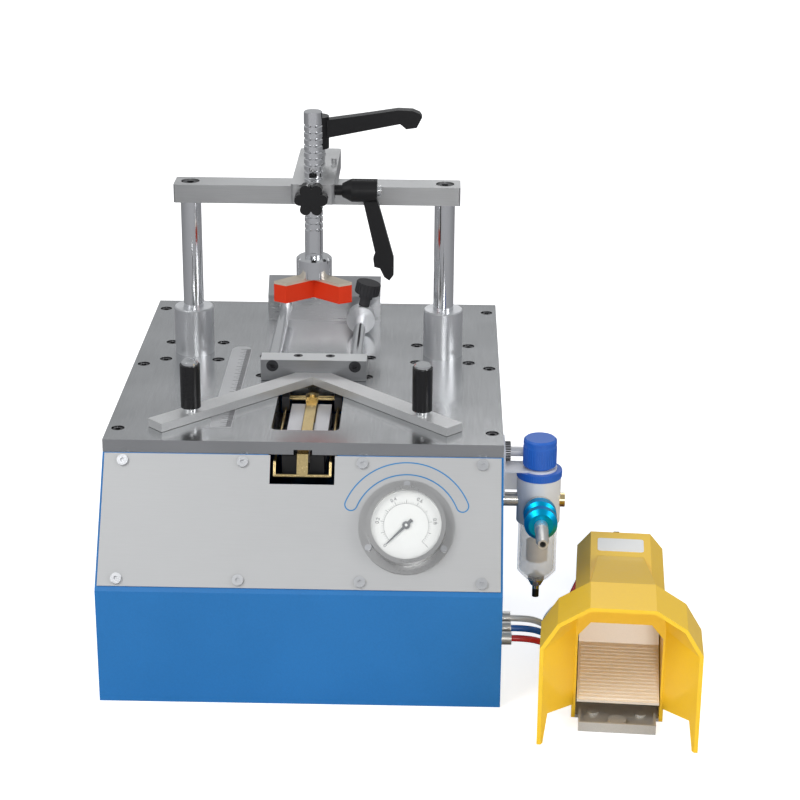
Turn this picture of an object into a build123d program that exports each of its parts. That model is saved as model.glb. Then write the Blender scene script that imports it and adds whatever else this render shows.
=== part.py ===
from build123d import *
import math
import os

# Pneumatic picture-frame nailing machine, millimetres, +Z up, +Y to the back.
# The origin is the centre of the cabinet's footprint, on the floor.

# Cabinet and top plate
plate_w = 360.0
plate_d = 400.0
plate_t = 12.0
plate_top = 223.0
base_d = 475.0
front_h = 109.0
sheet = 2.0
cover_t = 3.0
rail_w = 20.0
panel_t = 1.5
panel_margin = 2.0
panel_low = 4.7
panel_end_gap = 1.1
notch_half = 29.0
notch_depth = 27.6
panel_screw_r = 5.0
panel_screw_h = 2.5
panel_shank_r = 2.0
panel_screw_x = (53.7, 161.3)
panel_screw_low = 11.4
panel_screw_drop = 7.7

# Gauge
gauge_x = 94.0
gauge_s = 61.4
gauge_flange_r = 42.5
gauge_flange_t = 2.0
gauge_bezel_r = 35.0
gauge_bezel_h = 12.5
gauge_dial_r = 31.3
gauge_barrel_r = 29.0
gauge_barrel_d = 34.0
gauge_wall = 2.0
dial_t = 1.0
glass_t = 1.5
pointer_t = 0.8
pointer_len = 24.0
gauge_screw_r = 38.6
gauge_head_r = 3.0

# Plate features, measured from the plate's front edge
column_end = 15.0
column_r = 10.0
column_v = 241.6
window_half = 31.0
window_v0 = 29.5
window_v1 = 152.0
window_r = 6.0
strap_notch_half = 8.4
strap_notch_h = 4.6
plate_screw_r = 5.0
plate_head_h = 6.0
counterbore_r = 6.0
counterbore_d = 7.0
plate_shank_r = 3.0
plate_grip = 10.0
edge_screw_in = 10.0
edge_screw_front = 28.5
edge_screw_back = 27.0
hex_depth = 3.0
hex_r = 2.5
ruler_x = -77.5
ruler_w = 20.0
ruler_v0 = 33.4
ruler_v1 = 255.5
ruler_t = 1.5
boss_r = 19.5
boss_h = 47.5

# Press
run_gap = 0.05
slide_gap = 0.3
cylinder_w = 64.0
cylinder_h = 101.0
cylinder_floor = 8.0
piston_r = 25.0
piston_t = 20.0
piston_drop = 11.0
crossbar_w = 278.0
crossbar_d = 30.0
crossbar_h = 18.0
crossbar_z = 157.0
crossbar_screw_r = 7.5
crossbar_bore_r = 9.0
crossbar_bore_d = 8.0
crossbar_shank_r = 5.0
arm_w = 40.0
arm_h = 19.2
arm_v0 = 160.0
arm_v1 = 300.0
slot_w = 12.0
slot_v0 = 200.0
slot_v1 = 285.0
stop_pin_r = 2.5
stop_pin_h = 6.5
stop_pin_x = 16.5
stop_pin_fore = 6.6
stud_r = 5.0
stud_collar_r = 7.5
stud_collar_h = 15.2
hub_r = 11.5
hub_h = 31.0
lever_t = 12.0
lever_len = 100.0
press_rod_r = 8.7
press_rod_v = 180.0
press_rod_top = 260.0
groove_count = 17
groove_pitch = 6.25
groove_top = 246.7
groove_depth = 1.0
groove_half = 1.2
rod_flat = 0.8
rod_flat_low = 124.0
pad_low = 80.4
pad_t = 20.0
cup_r = 17.0
cup_h = 19.0
cup_grip = 7.0
pad_apex_in = 172.0
pad_apex_out = 194.0
pad_ear_x0 = 25.0
pad_ear_v0 = 151.5
pad_ear_x1 = 37.0
pad_ear_v1 = 158.4
star_r = 15.5
star_t = 12.0
star_lobes = 6
star_gap = 9.0
washer_r = 8.0
star_stud_r = 4.0
axle_r = 5.0
axle_v = 182.0
axle_drop = 10.8
swing_hub_x0 = 27.0
swing_hub_x1 = 36.0
swing_hub_x2 = 60.0
swing_hub_r = 11.0
swing_lever_len = 87.5
swing_lever_t = 9.0

# Fence
fence_apex = 147.0
fence_len = 182.0
fence_w = 20.0
fence_h = 8.0
block_half = 51.0
block_v0 = 158.0
block_v1 = 178.0
block_h = 21.0
guide_x = 39.75
guide_z = 14.8
guide_r = 6.0
guide_end = 372.0
guide_seat = 8.0
guide_screw_r = 5.8
guide_screw_h = 5.5
guide_shank_r = 3.0
block_screw_x = 15.5
block_screw_v = 171.0
block_screw_r = 4.5
block_screw_h = 4.0
collar_v = 297.3
collar_t = 12.0
collar_gap = 0.4
collar_tilt = 12.0
collar_neck_r = 7.0
collar_head_r = 12.0
collar_head_h = 12.0
collar_reach = 40.0
collar_stud_r = 3.0
handle_x = 106.0
handle_v = 53.0
handle_r = 9.25
handle_h = 41.0
handle_cap_h = 4.0
spindle_r = 4.0
spindle_foot_r = 7.0
spindle_foot_h = 4.0
stop_half = 58.5
stop_v = 340.0
stop_t = 2.0
stop_rise = 27.0
stop_lean = 17.0
stop_foot = 14.0
stop_hole_r = 7.0

# Nail feed
rail_in = 6.0
rail_out = 19.0
rail_v0 = 2.0
rail_v1 = 131.0
rail_h = 14.5
rail_floor = 5.0
rail_drop = 1.5
strap_half = 5.0
strap_t = 1.2
strap_lift = 0.6
wire_r = 1.5
bail_half = 25.0
bail_out = 12.0
bail_z = 195.6
bail_back_out = 5.5
bail_leg_z = 205.6
wire_v = (133.0, 138.0)
socket_w = 7.0
ram_v = 144.0
ram_half = 5.0
ram_t = 3.0
ram_top = 205.0
driver_r = 22.0
driver_bore_r = 18.0
driver_low = 100.0
driver_high = 180.0
driver_floor = 8.0
driver_cap = 6.0
ram_piston_low = 25.0
ram_piston_t = 12.0
blade_len = 16.0
bridge_half = 41.0
bridge_t = 8.0
bridge_leg = 8.0
bridge_d = 36.0

# Filter regulator on the right side
reg_x = 214.0
reg_y = -127.5
reg_port_z = 156.0
reg_r = 20.0
reg_z0 = 136.0
reg_z1 = 180.0
ring_r = 20.5
ring_h = 7.0
neck_r = 12.0
neck_h = 3.7
knob_r = 15.0
knob_h = 26.0
spindle_reg_r = 6.0
spindle_reg_h = 25.0
bowl_r = 18.0
bowl_wall = 2.0
bowl_h = 58.0
bowl_floor = 3.0
filter_r = 10.0
filter_h = 40.0
drain_r = 5.0
drain_h = 20.4
nipple_r = 6.5
nipple_shank_r = 5.0
plug_r = 6.5
plug_len = 4.0
bracket_t = 2.5
bracket_y0 = -140.0
bracket_y1 = -94.0
bracket_z0 = 164.0
bracket_z1 = 206.0
ear_r = 16.0
ear_t = 2.0
clamp_y = -107.5
clamp_z = 195.0
clamp_r = 9.0
clamp_h = 5.5
barb_r = 6.0
barb_end = -226.7
barb_bore_r = 2.8
boss_valve_r = 12.0
boss_valve_len = 8.0
sleeve_r = 15.0
sleeve_y0 = -187.5
sleeve_y1 = -156.0
sleeve_groove = 1.6

# Foot valve, in its own frame with its front centre on the floor
foot_x = 279.5
foot_y = -306.5
foot_turn = -4.0
hood_half = 69.5
hood_wall = 3.5
hood_len = 51.0
hood_side_h = 93.0
hood_mid_half = 55.0
hood_mid_h = 117.0
hood_top_half = 28.0
hood_h = 134.0
hood_back_mid_half = 38.0
hood_back_mid_h = 112.0
shell_half = 40.5
shell_len = 232.0
shell_side_h = 85.0
shell_top_half = 28.0
shell_h = 100.0
wedge_end = 179.0
wedge_end_half = 21.0
wedge_half = 35.5
tray_half = 34.0
tray_front = 27.0
tray_t = 3.0
tray_rim = 9.0
tray_wall = 2.0
foot_body_half = 26.0
foot_body_y = 190.0
foot_body_h = 42.0
pivot_y = 131.0
pivot_z = 30.0
pivot_r = 4.0
pedal_half = 36.0
pedal_t = 3.0
pedal_lip = (39.0, 25.0)
pedal_bend = (105.0, 48.0)
pedal_toe = (117.0, 80.0)
pedal_rib_count = 16
pedal_lug_r = 8.0
pedal_lug_t = 6.0

# Air lines
air_r = 3.0
bulk_z = 49.0
bulk_y = {"red": -197.5, "blue": -177.5, "white": -157.5}
bulk_r = 6.0
bulk_len = 10.0
bulk_shank_r = 4.0
bulk_inside = 8.0
valve_port_x = {"red": -16.0, "blue": 0.0, "white": 16.0}
valve_port_z = 22.0
valve_fit_r = 6.0
valve_fit_len = 12.0
coil_x = 304.0
coil_y = 15.0
coil_outer = 38.0
coil_inner = 28.0
coil_turns = 1.5
coil_pitch_z = 6.5
coil_base = {"white": 4.5, "blue": 17.5, "red": 30.5}
tie_t = 0.8
tie_w = 6.0
tie_gap = 0.3

# Places that follow from the sizes
base_half_d = base_d / 2
plate_front = base_half_d - plate_d
plate_under = plate_top - plate_t
half_w = plate_w / 2
slant_run = plate_front + base_half_d
slant_rise = plate_under - front_h
slant_len = math.hypot(slant_run, slant_rise)
slant_y = slant_run / slant_len
slant_z = slant_rise / slant_len
panel_high = slant_len - panel_end_gap
notch_low = slant_len - notch_depth
panel_screw_s = (panel_screw_low, slant_len - panel_screw_drop)
column_x = crossbar_w / 2 - column_end
bail_y = plate_front - bail_out
bail_back_y = plate_front - bail_back_out
BASE = (Align.CENTER, Align.CENTER, Align.MIN)
CORNER = (Align.MIN, Align.MIN, Align.MIN)
slant = Plane(origin=(0, -base_half_d, front_h), x_dir=(1, 0, 0), z_dir=(0, -slant_z, slant_y))


def at_v(v):
    """World Y of a distance from the plate's front edge."""
    return plate_front + v


def at_z(z):
    """World Z of a height above the plate."""
    return plate_top + z


def box(x0, x1, y0, y1, z0, z1):
    """Box between two corners."""
    return Pos(x0, y0, z0) * Box(x1 - x0, y1 - y0, z1 - z0, align=CORNER)


def rod(p, q, r):
    """Round bar from one point to another."""
    p = Vector(*p)
    q = Vector(*q)
    return Plane(origin=p, z_dir=q - p) * Cylinder(r, (q - p).length, align=BASE)


def up(x, y, z0, z1, r):
    """Upright cylinder."""
    return Pos(x, y, z0) * Cylinder(r, z1 - z0, align=BASE)


def on_panel(x, s, h0, h1, r):
    """Cylinder square to the slanted front, from height h0 to h1."""
    return slant * (Pos(x, s, h0) * Cylinder(r, h1 - h0, align=BASE))


def panel_box(x0, x1, s0, s1, h0, h1):
    """Box laid on the slanted front."""
    return slant * box(x0, x1, s0, s1, h0, h1)


def prism(points, step):
    """Flat polygon in space, moved along a step."""
    face = Face(Wire.make_polygon([Vector(*p) for p in points], close=True))
    return Solid.extrude(face, Vector(*step))


def prism_x(points, x0, x1):
    """Profile of (y, z) points from x0 to x1."""
    return prism([(x0, y, z) for y, z in points], (x1 - x0, 0, 0))


def prism_y(points, y0, y1):
    """Profile of (x, z) points from y0 to y1."""
    return prism([(x, y0, z) for x, z in points], (0, y1 - y0, 0))


def prism_z(points, z0, z1):
    """Profile of (x, y) points from z0 to z1."""
    return prism([(x, y, z0) for x, y in points], (0, 0, z1 - z0))


def lathe(points, x, y):
    """Profile of (radius, z) points turned about an upright axis."""
    face = Face(Wire.make_polygon([Vector(r, 0, z) for r, z in points], close=True))
    return Pos(x, y, 0) * Solid.revolve(face, 360, Axis.Z)


def fuse(shapes):
    """Union of several shapes."""
    first, *others = shapes
    return first.fuse(*others)


def polyhedron(points, faces):
    """Solid with flat faces, each a list of point numbers."""
    sides = [Face(Wire.make_polygon([Vector(*points[i]) for i in face], close=True)) for face in faces]
    return Solid(Shell(sides))


parts = {}

# Top plate and its fasteners
edge_screw_v = (edge_screw_front, plate_d / 2, plate_d - edge_screw_back)
screw_spots = [(sx * (half_w - edge_screw_in), v) for sx in (-1, 1) for v in edge_screw_v]
screw_spots += [(sx * (column_x + dx), v) for sx in (-1, 1) for dx in (-26.0, 26.0) for v in (215.5, 266.0)]
screw_spots += [(sx * 51.0, 171.5) for sx in (-1, 1)]
screw_spots += [(sx * 52.0, 227.0) for sx in (-1, 1)]
column_y = at_v(column_v)
plate = box(-half_w, half_w, plate_front, base_half_d, plate_under, plate_top)
window = box(-window_half, window_half, at_v(window_v0), at_v(window_v1), plate_under, plate_top)
front_edges = window.edges().filter_by(Axis.Z).group_by(Axis.Y)[0]
window = fillet(front_edges, window_r)
plate_cuts = [window]
plate_cuts += [up(sx * column_x, column_y, plate_under, plate_top, column_r + run_gap) for sx in (-1, 1)]
plate_cuts += [up(x, at_v(v), plate_under, plate_top, plate_shank_r) for x, v in screw_spots]
plate_cuts += [up(x, at_v(v), plate_top - counterbore_d, plate_top, counterbore_r) for x, v in screw_spots]
plate_cuts.append(
    box(-strap_notch_half, strap_notch_half, plate_front, at_v(window_v0), plate_under, plate_under + strap_notch_h)
)
ruler_half = ruler_w / 2
ruler = fuse([
    box(ruler_x - ruler_half, ruler_x + ruler_half, at_v(ruler_v0), at_v(ruler_v1 - ruler_half),
        plate_top - ruler_t, plate_top),
    up(ruler_x, at_v(ruler_v1 - ruler_half), plate_top - ruler_t, plate_top, ruler_half),
])
plate_cuts.append(ruler)
parts["top_plate"] = plate.cut(*plate_cuts)
parts["ruler_inset"] = ruler

screw_seat = plate_top - counterbore_d
shank_low = plate_under - plate_grip
screws = []
for x, v in screw_spots:
    screw = up(x, at_v(v), screw_seat, screw_seat + plate_head_h, plate_screw_r)
    screw = screw - up(x, at_v(v), screw_seat + plate_head_h - hex_depth, screw_seat + plate_head_h, hex_r)
    screws.append(screw + up(x, at_v(v), shank_low, screw_seat, plate_shank_r))
parts["plate_screws"] = Compound(children=screws)
screw_holes = [up(x, at_v(v), shank_low, plate_under, plate_shank_r) for x, v in screw_spots]

bosses = []
for sx in (-1, 1):
    boss = up(sx * column_x, column_y, plate_top, plate_top + boss_h, boss_r)
    boss = chamfer(boss.edges().group_by(Axis.Z)[-1], 1.0)
    bosses.append(boss - up(sx * column_x, column_y, plate_top, plate_top + boss_h, column_r + run_gap))
parts["guide_bosses"] = Compound(children=bosses)

# Cabinet shell, folded sheet with a slanted front, open above and below
outer = [
    (-base_half_d, 0),
    (-base_half_d, front_h),
    (plate_front, plate_under),
    (base_half_d, plate_under),
    (base_half_d, 0),
]
inner_front_z = front_h - sheet * slant_y + (sheet - sheet * slant_z) * slant_z / slant_y
inner_top_y = plate_front + sheet * slant_z + sheet * slant_y * slant_y / slant_z
inner = [
    (sheet - base_half_d, 0),
    (sheet - base_half_d, inner_front_z),
    (inner_top_y, plate_under),
    (base_half_d - sheet, plate_under),
    (base_half_d - sheet, 0),
]
shell = prism_x(outer, -half_w, half_w) - prism_x(inner, sheet - half_w, half_w - sheet)
rail_front = plate_front + 14.0
inside_x = half_w - sheet
rail_z = plate_under - sheet
shell = fuse([
    shell,
    box(-inside_x, rail_w - inside_x, rail_front, base_half_d - sheet, rail_z, plate_under),
    box(inside_x - rail_w, inside_x, rail_front, base_half_d - sheet, rail_z, plate_under),
    box(rail_w - inside_x, inside_x - rail_w, base_half_d - sheet - rail_w, base_half_d - sheet, rail_z, plate_under),
])
hole_spots = [(sx * x, s) for sx in (-1, 1) for x in panel_screw_x for s in panel_screw_s]
flange_spots = [
    (gauge_x + gauge_screw_r * math.cos(math.radians(a)), gauge_s + gauge_screw_r * math.sin(math.radians(a)))
    for a in (90, 210, 330)
]
all_spots = hole_spots + flange_spots
shell_cuts = [on_panel(x, s, -sheet * 2, 0, panel_shank_r) for x, s in all_spots]
shell_cuts.append(panel_box(-window_half, window_half, notch_low - 3.0, slant_len + 4.0, -sheet * 2, 0.01))
shell_cuts.append(on_panel(gauge_x, gauge_s, -sheet * 2, 0, gauge_barrel_r))
shell_cuts += [hole for hole, spot in zip(screw_holes, screw_spots) if abs(spot[0]) > inside_x - rail_w]
shell_cuts += [rod((half_w - sheet, y, bulk_z), (half_w, y, bulk_z), bulk_shank_r) for y in bulk_y.values()]
shell_cuts.append(rod((half_w - sheet, reg_y, reg_port_z), (half_w, reg_y, reg_port_z), nipple_shank_r))
parts["cabinet_shell"] = shell.cut(*shell_cuts)
parts["base_cover"] = box(-inside_x, inside_x, sheet - base_half_d, base_half_d - sheet, 0, cover_t)

# Stainless front panel with its window notch
panel_half = half_w - panel_margin
panel = panel_box(-panel_half, panel_half, panel_low, panel_high, 0, panel_t)
panel_cuts = [on_panel(x, s, 0, panel_t, panel_shank_r) for x, s in all_spots]
panel_cuts.append(panel_box(-notch_half, notch_half, notch_low, panel_high, 0, panel_t))
panel_cuts.append(on_panel(gauge_x, gauge_s, 0, panel_t, gauge_barrel_r))
parts["front_panel"] = panel.cut(*panel_cuts)

flange_top = panel_t + gauge_flange_t
pan_screws = []
for x, s in hole_spots:
    head = on_panel(x, s, panel_t, panel_t + panel_screw_h, panel_screw_r)
    head = head - on_panel(x, s, panel_t + 1.0, panel_t + panel_screw_h, 1.8)
    pan_screws.append(head + on_panel(x, s, -6.0, panel_t, panel_shank_r))
for x, s in flange_spots:
    head = on_panel(x, s, flange_top, flange_top + 1.8, gauge_head_r)
    pan_screws.append(head + on_panel(x, s, -6.0, flange_top, panel_shank_r))
parts["panel_screws"] = Compound(children=pan_screws)

# Pressure gauge
bezel_top = flange_top + gauge_bezel_h
dial_low = bezel_top - 7.0
case = fuse([
    on_panel(gauge_x, gauge_s, -gauge_barrel_d, panel_t, gauge_barrel_r),
    on_panel(gauge_x, gauge_s, panel_t, flange_top, gauge_flange_r),
    on_panel(gauge_x, gauge_s, flange_top, bezel_top, gauge_bezel_r),
])
case = case.cut(
    on_panel(gauge_x, gauge_s, dial_low, bezel_top, gauge_dial_r),
    on_panel(gauge_x, gauge_s, gauge_wall - gauge_barrel_d, dial_low, gauge_barrel_r - gauge_wall),
    *[on_panel(x, s, panel_t, flange_top, panel_shank_r) for x, s in flange_spots],
)
parts["gauge_case"] = case
dial_top = dial_low + dial_t
parts["gauge_dial"] = on_panel(gauge_x, gauge_s, dial_low, dial_top, gauge_dial_r) + on_panel(
    gauge_x, gauge_s, dial_top, dial_top + 2.4, 1.2
)
glass_low = bezel_top - 1.0 - glass_t
parts["gauge_glass"] = on_panel(gauge_x, gauge_s, glass_low, glass_low + glass_t, gauge_dial_r)
pointer_low = dial_top + 0.8
needle = slant * Pos(gauge_x, gauge_s, pointer_low) * Rot(0, 0, 225) * prism_z(
    [(-7.0, -1.6), (pointer_len, -0.4), (pointer_len, 0.4), (-7.0, 1.6)], 0, pointer_t
)
needle = needle + on_panel(gauge_x, gauge_s, pointer_low, pointer_low + pointer_t, 3.5)
parts["gauge_pointer"] = needle - on_panel(
    gauge_x, gauge_s, pointer_low - 1, pointer_low + 2, 1.2 + run_gap
)

# Press cylinders under the plate
cylinder_low = plate_under - cylinder_h
cyl_half = cylinder_w / 2
cylinders = []
for sx in (-1, 1):
    cx = sx * column_x
    body = box(cx - cyl_half, cx + cyl_half, column_y - cyl_half, column_y + cyl_half, cylinder_low, plate_under)
    body = body - up(cx, column_y, cylinder_low + cylinder_floor, plate_under, piston_r + run_gap)
    holes = [hole for hole, spot in zip(screw_holes, screw_spots) if abs(abs(spot[0]) - column_x) < cyl_half]
    cylinders.append(body.cut(*holes))
parts["press_cylinders"] = Compound(children=cylinders)

# Press frame: pistons, columns and crossbar
bar_z0 = at_z(crossbar_z)
bar_z1 = bar_z0 + crossbar_h
piston_top = plate_under - piston_drop
columns = []
for sx in (-1, 1):
    cx = sx * column_x
    column = fuse([
        up(cx, column_y, piston_top - piston_t, piston_top, piston_r),
        up(cx, column_y, piston_top, bar_z0, column_r),
    ])
    columns.append(column - up(cx, column_y, bar_z0 - 12.0, bar_z0, crossbar_shank_r))
parts["press_columns"] = Compound(children=columns)
bar_half_d = crossbar_d / 2
bar = box(-crossbar_w / 2, crossbar_w / 2, column_y - bar_half_d, column_y + bar_half_d, bar_z0, bar_z1)
bar = chamfer(bar.edges().filter_by(Axis.Z), 1.5)
bar_cuts = [up(0, column_y, bar_z0, bar_z1, stud_r + run_gap)]
bar_screws = []
bar_seat = bar_z1 - crossbar_bore_d
for sx in (-1, 1):
    cx = sx * column_x
    bar_cuts.append(up(cx, column_y, bar_z0, bar_z1, crossbar_shank_r))
    bar_cuts.append(up(cx, column_y, bar_seat, bar_z1, crossbar_bore_r))
    head = up(cx, column_y, bar_seat, bar_z1 - 1.0, crossbar_screw_r)
    head = head - up(cx, column_y, bar_z1 - 5.0, bar_z1 - 1.0, 3.5)
    bar_screws.append(head + up(cx, column_y, bar_z0 - 12.0, bar_seat, crossbar_shank_r))
parts["crossbar"] = bar.cut(*bar_cuts)
parts["crossbar_screws"] = Compound(children=bar_screws)

# Clamp arm lying on the crossbar
arm_z0 = bar_z1 + slide_gap
arm_z1 = arm_z0 + arm_h
arm_mid = arm_z0 + arm_h / 2
arm_half = arm_w / 2
rod_y = at_v(press_rod_v)
axle_y = at_v(axle_v)
axle_z = arm_z1 - axle_drop
arm = box(-arm_half, arm_half, at_v(arm_v0), at_v(arm_v1), arm_z0, arm_z1)
arm = chamfer(arm.edges().filter_by(Axis.Z), 2.0)
slot_half = slot_w / 2
arm = arm.cut(
    up(0, rod_y, arm_z0, arm_z1, press_rod_r + run_gap),
    box(-slot_half, slot_half, at_v(slot_v0) + slot_half, at_v(slot_v1) - slot_half, arm_z0, arm_z1),
    up(0, at_v(slot_v0) + slot_half, arm_z0, arm_z1, slot_half),
    up(0, at_v(slot_v1) - slot_half, arm_z0, arm_z1, slot_half),
    rod((0, at_v(arm_v0), arm_mid), (0, rod_y, arm_mid), star_stud_r + run_gap),
    rod((press_rod_r, axle_y, axle_z), (arm_half, axle_y, axle_z), axle_r + run_gap),
)
stop_pin_y = at_v(column_v - stop_pin_fore)
parts["clamp_arm"] = arm + up(stop_pin_x, stop_pin_y, arm_z1, arm_z1 + stop_pin_h, stop_pin_r)

# Lever that locks the arm on its stud
hub_z0 = arm_z1 + slide_gap + stud_collar_h
hub_z1 = hub_z0 + hub_h
lever_face = [
    (hub_r - 2.0, hub_z0 + 10.5),
    (lever_len - 20.0, hub_z0 + 25.0),
    (lever_len - 14.0, hub_z0 + 20.0),
    (lever_len - 4.0, hub_z0 + 21.5),
    (lever_len + 1.0, hub_z0 + 31.5),
    (lever_len - 1.0, hub_z0 + 35.0),
    (lever_len - 8.0, hub_z0 + 38.0),
    (lever_len - 22.0, hub_z0 + 38.5),
    (lever_len / 2, hub_z0 + 34.0),
    (hub_r - 2.0, hub_z1 - 3.0),
]
blade = prism_y(lever_face, column_y - lever_t / 2, column_y + lever_t / 2)
parts["arm_lever"] = fuse([
    up(0, column_y, bar_z0 + 4.0, hub_z0, stud_r),
    up(0, column_y, arm_z1 + slide_gap, hub_z0, stud_collar_r),
    up(0, column_y, hub_z0, hub_z1, hub_r),
    blade,
])

# Grooved press rod, cup and chevron pad
cup_z0 = at_z(pad_low) + pad_t
cup_z1 = cup_z0 + cup_h
rod_low = cup_z1 - cup_grip
profile = [(0, rod_low), (press_rod_r, rod_low)]
for i in range(groove_count):
    z = at_z(groove_top) - (groove_count - 1 - i) * groove_pitch
    profile += [
        (press_rod_r, z - groove_half),
        (press_rod_r - groove_depth, z - groove_half * 0.3),
        (press_rod_r - groove_depth, z + groove_half * 0.3),
        (press_rod_r, z + groove_half),
    ]
rod_top = at_z(press_rod_top)
profile += [(press_rod_r, rod_top - 1.0), (press_rod_r - 1.0, rod_top), (0, rod_top)]
flat_y = rod_y - press_rod_r + rod_flat
press_rod = lathe(profile, 0, rod_y) - box(
    -press_rod_r, press_rod_r, rod_y - press_rod_r - 1.0, flat_y, at_z(rod_flat_low), rod_top
)
parts["press_rod"] = press_rod
parts["rod_cup"] = lathe(
    [(0, cup_z0), (cup_r, cup_z0), (cup_r, cup_z1 - 2.0), (cup_r - 2.0, cup_z1), (press_rod_r, cup_z1),
     (press_rod_r, rod_low), (0, rod_low)],
    0, rod_y,
)
chevron = [
    (0, at_v(pad_apex_in)),
    (pad_ear_x0, at_v(pad_ear_v0)),
    (pad_ear_x1, at_v(pad_ear_v1)),
    (0, at_v(pad_apex_out)),
    (-pad_ear_x1, at_v(pad_ear_v1)),
    (-pad_ear_x0, at_v(pad_ear_v0)),
]
parts["press_pad"] = prism_z(chevron, at_z(pad_low), cup_z0)

# Star knob in the arm's nose
nose_y = at_v(arm_v0)
star_y1 = nose_y - star_gap
star_y0 = star_y1 - star_t
lobe_r = star_r / 3
core_r = star_r - lobe_r
star = [rod((0, star_y0, arm_mid), (0, star_y1, arm_mid), core_r)]
for i in range(star_lobes):
    a = 2 * math.pi * i / star_lobes
    lx = core_r * math.cos(a)
    lz = arm_mid + core_r * math.sin(a)
    star.append(rod((lx, star_y0, lz), (lx, star_y1, lz), lobe_r))
star.append(rod((0, star_y1, arm_mid), (0, nose_y - slide_gap, arm_mid), washer_r))
stud_tip_y = rod_y - press_rod_r - slide_gap
star.append(rod((0, nose_y - slide_gap - 1, arm_mid), (0, stud_tip_y, arm_mid), star_stud_r))
parts["star_knob"] = fuse(star)

# Swinging lever at the arm's side
hub = rod((swing_hub_x1, axle_y, axle_z), (swing_hub_x2, axle_y, axle_z), swing_hub_r)
cone = Plane(origin=(swing_hub_x0, axle_y, axle_z), z_dir=(1, 0, 0)) * Cone(
    axle_r + 1.5, swing_hub_r, swing_hub_x1 - swing_hub_x0, align=BASE
)
hang_x = swing_hub_x2
hang_z = axle_z - swing_lever_len
hang_face = [
    (hang_x - 13.5, axle_z - 4.0),
    (hang_x - 13.5, axle_z - 8.0),
    (hang_x - 1.5, hang_z + 26.5),
    (hang_x - 3.5, hang_z + 21.5),
    (hang_x - 2.5, hang_z + 13.5),
    (hang_x + 3.0, hang_z + 12.0),
    (hang_x + 7.0, hang_z + 3.5),
    (hang_x + 12.0, hang_z),
    (hang_x + 16.0, hang_z + 5.5),
    (hang_x + 16.0, hang_z + 21.5),
    (hang_x - 0.5, axle_z - 6.0),
    (hang_x - 0.5, axle_z - 4.0),
]
hang = prism_y(hang_face, axle_y - swing_lever_t / 2, axle_y + swing_lever_t / 2)
parts["rod_lever"] = fuse([
    rod((press_rod_r + 0.5, axle_y, axle_z), (swing_hub_x0, axle_y, axle_z), axle_r),
    cone,
    hub,
    rod((swing_hub_x2, axle_y, axle_z), (swing_hub_x2 + 4.0, axle_y, axle_z), 5.0),
    hang,
])

# Fence: two mitred bars, block and guide rods
fence_z0 = plate_top + slide_gap
fence_z1 = fence_z0 + fence_h
reach = fence_len / math.sqrt(2)
across = fence_w / math.sqrt(2)
bars = []
for sx in (-1, 1):
    bars.append(prism_z([
        (0, at_v(fence_apex)),
        (sx * reach, at_v(fence_apex) - reach),
        (sx * (reach + across), at_v(fence_apex) - reach + across),
        (0, at_v(fence_apex) + 2 * across),
    ], fence_z0, fence_z1))
handle_spots = [(sx * handle_x, at_v(handle_v)) for sx in (-1, 1)]
spindle_cuts = [up(x, y, fence_z0, fence_z1, spindle_r) for x, y in handle_spots]
parts["fence_bars"] = Compound(children=[bar.cut(hole) for bar, hole in zip(bars, spindle_cuts)])
block_top = fence_z0 + block_h
block_y0 = at_v(block_v0)
block_y1 = at_v(block_v1)
block = box(-block_half, block_half, block_y0, block_y1, fence_z0, block_top)
block = block.cut(*bars)
guide_axis = fence_z0 + guide_z
block_cuts = []
screws = []
rods = []
for sx in (-1, 1):
    gx = sx * guide_x
    block_cuts.append(rod((gx, block_y1 - guide_seat, guide_axis), (gx, block_y1, guide_axis), guide_r))
    block_cuts.append(rod((gx, block_y0, guide_axis), (gx, block_y1, guide_axis), guide_shank_r))
    block_cuts.append(rod((gx, block_y0, guide_axis), (gx, block_y0 + guide_screw_h, guide_axis), guide_screw_r))
    head = rod((gx, block_y0, guide_axis), (gx, block_y0 + guide_screw_h, guide_axis), guide_screw_r)
    head = head - rod((gx, block_y0, guide_axis), (gx, block_y0 + 3.0, guide_axis), 2.5)
    shank = rod((gx, block_y0 + guide_screw_h, guide_axis), (gx, block_y1, guide_axis), guide_shank_r)
    screws.append(head + shank)
    guide = rod((gx, block_y1 - guide_seat, guide_axis), (gx, at_v(guide_end), guide_axis), guide_r)
    rods.append(guide - rod((gx, block_y1 - guide_seat, guide_axis), (gx, block_y1, guide_axis), guide_shank_r))
    bx = sx * block_screw_x
    by = at_v(block_screw_v)
    head = up(bx, by, block_top - block_screw_h, block_top, block_screw_r)
    block_cuts.append(head)
    block_cuts.append(up(bx, by, fence_z1, block_top, 2.5))
    head = head - up(bx, by, block_top - 2.5, block_top, 2.0)
    screws.append(head + up(bx, by, fence_z1, block_top - block_screw_h, 2.5))
parts["fence_block"] = block.cut(*block_cuts)
handle_z0 = fence_z1 + spindle_foot_h + slide_gap
handle_z1 = handle_z0 + handle_h
for x, y in handle_spots:
    screws.append(fuse([
        up(x, y, fence_z0, handle_z1 - 2.0, spindle_r),
        up(x, y, fence_z1, fence_z1 + spindle_foot_h, spindle_foot_r),
    ]))
parts["fence_screws"] = Compound(children=screws)
collar_r = guide_z - collar_gap
collar_y = at_v(collar_v)
collar_mid = collar_y + collar_t / 2
tilt_x = math.sin(math.radians(collar_tilt))
tilt_z = math.cos(math.radians(collar_tilt))


def from_rod(distance):
    """Point on the collar knob's axis, at a distance from the guide rod."""
    return (guide_x + distance * tilt_x, collar_mid, guide_axis + distance * tilt_z)


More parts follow.
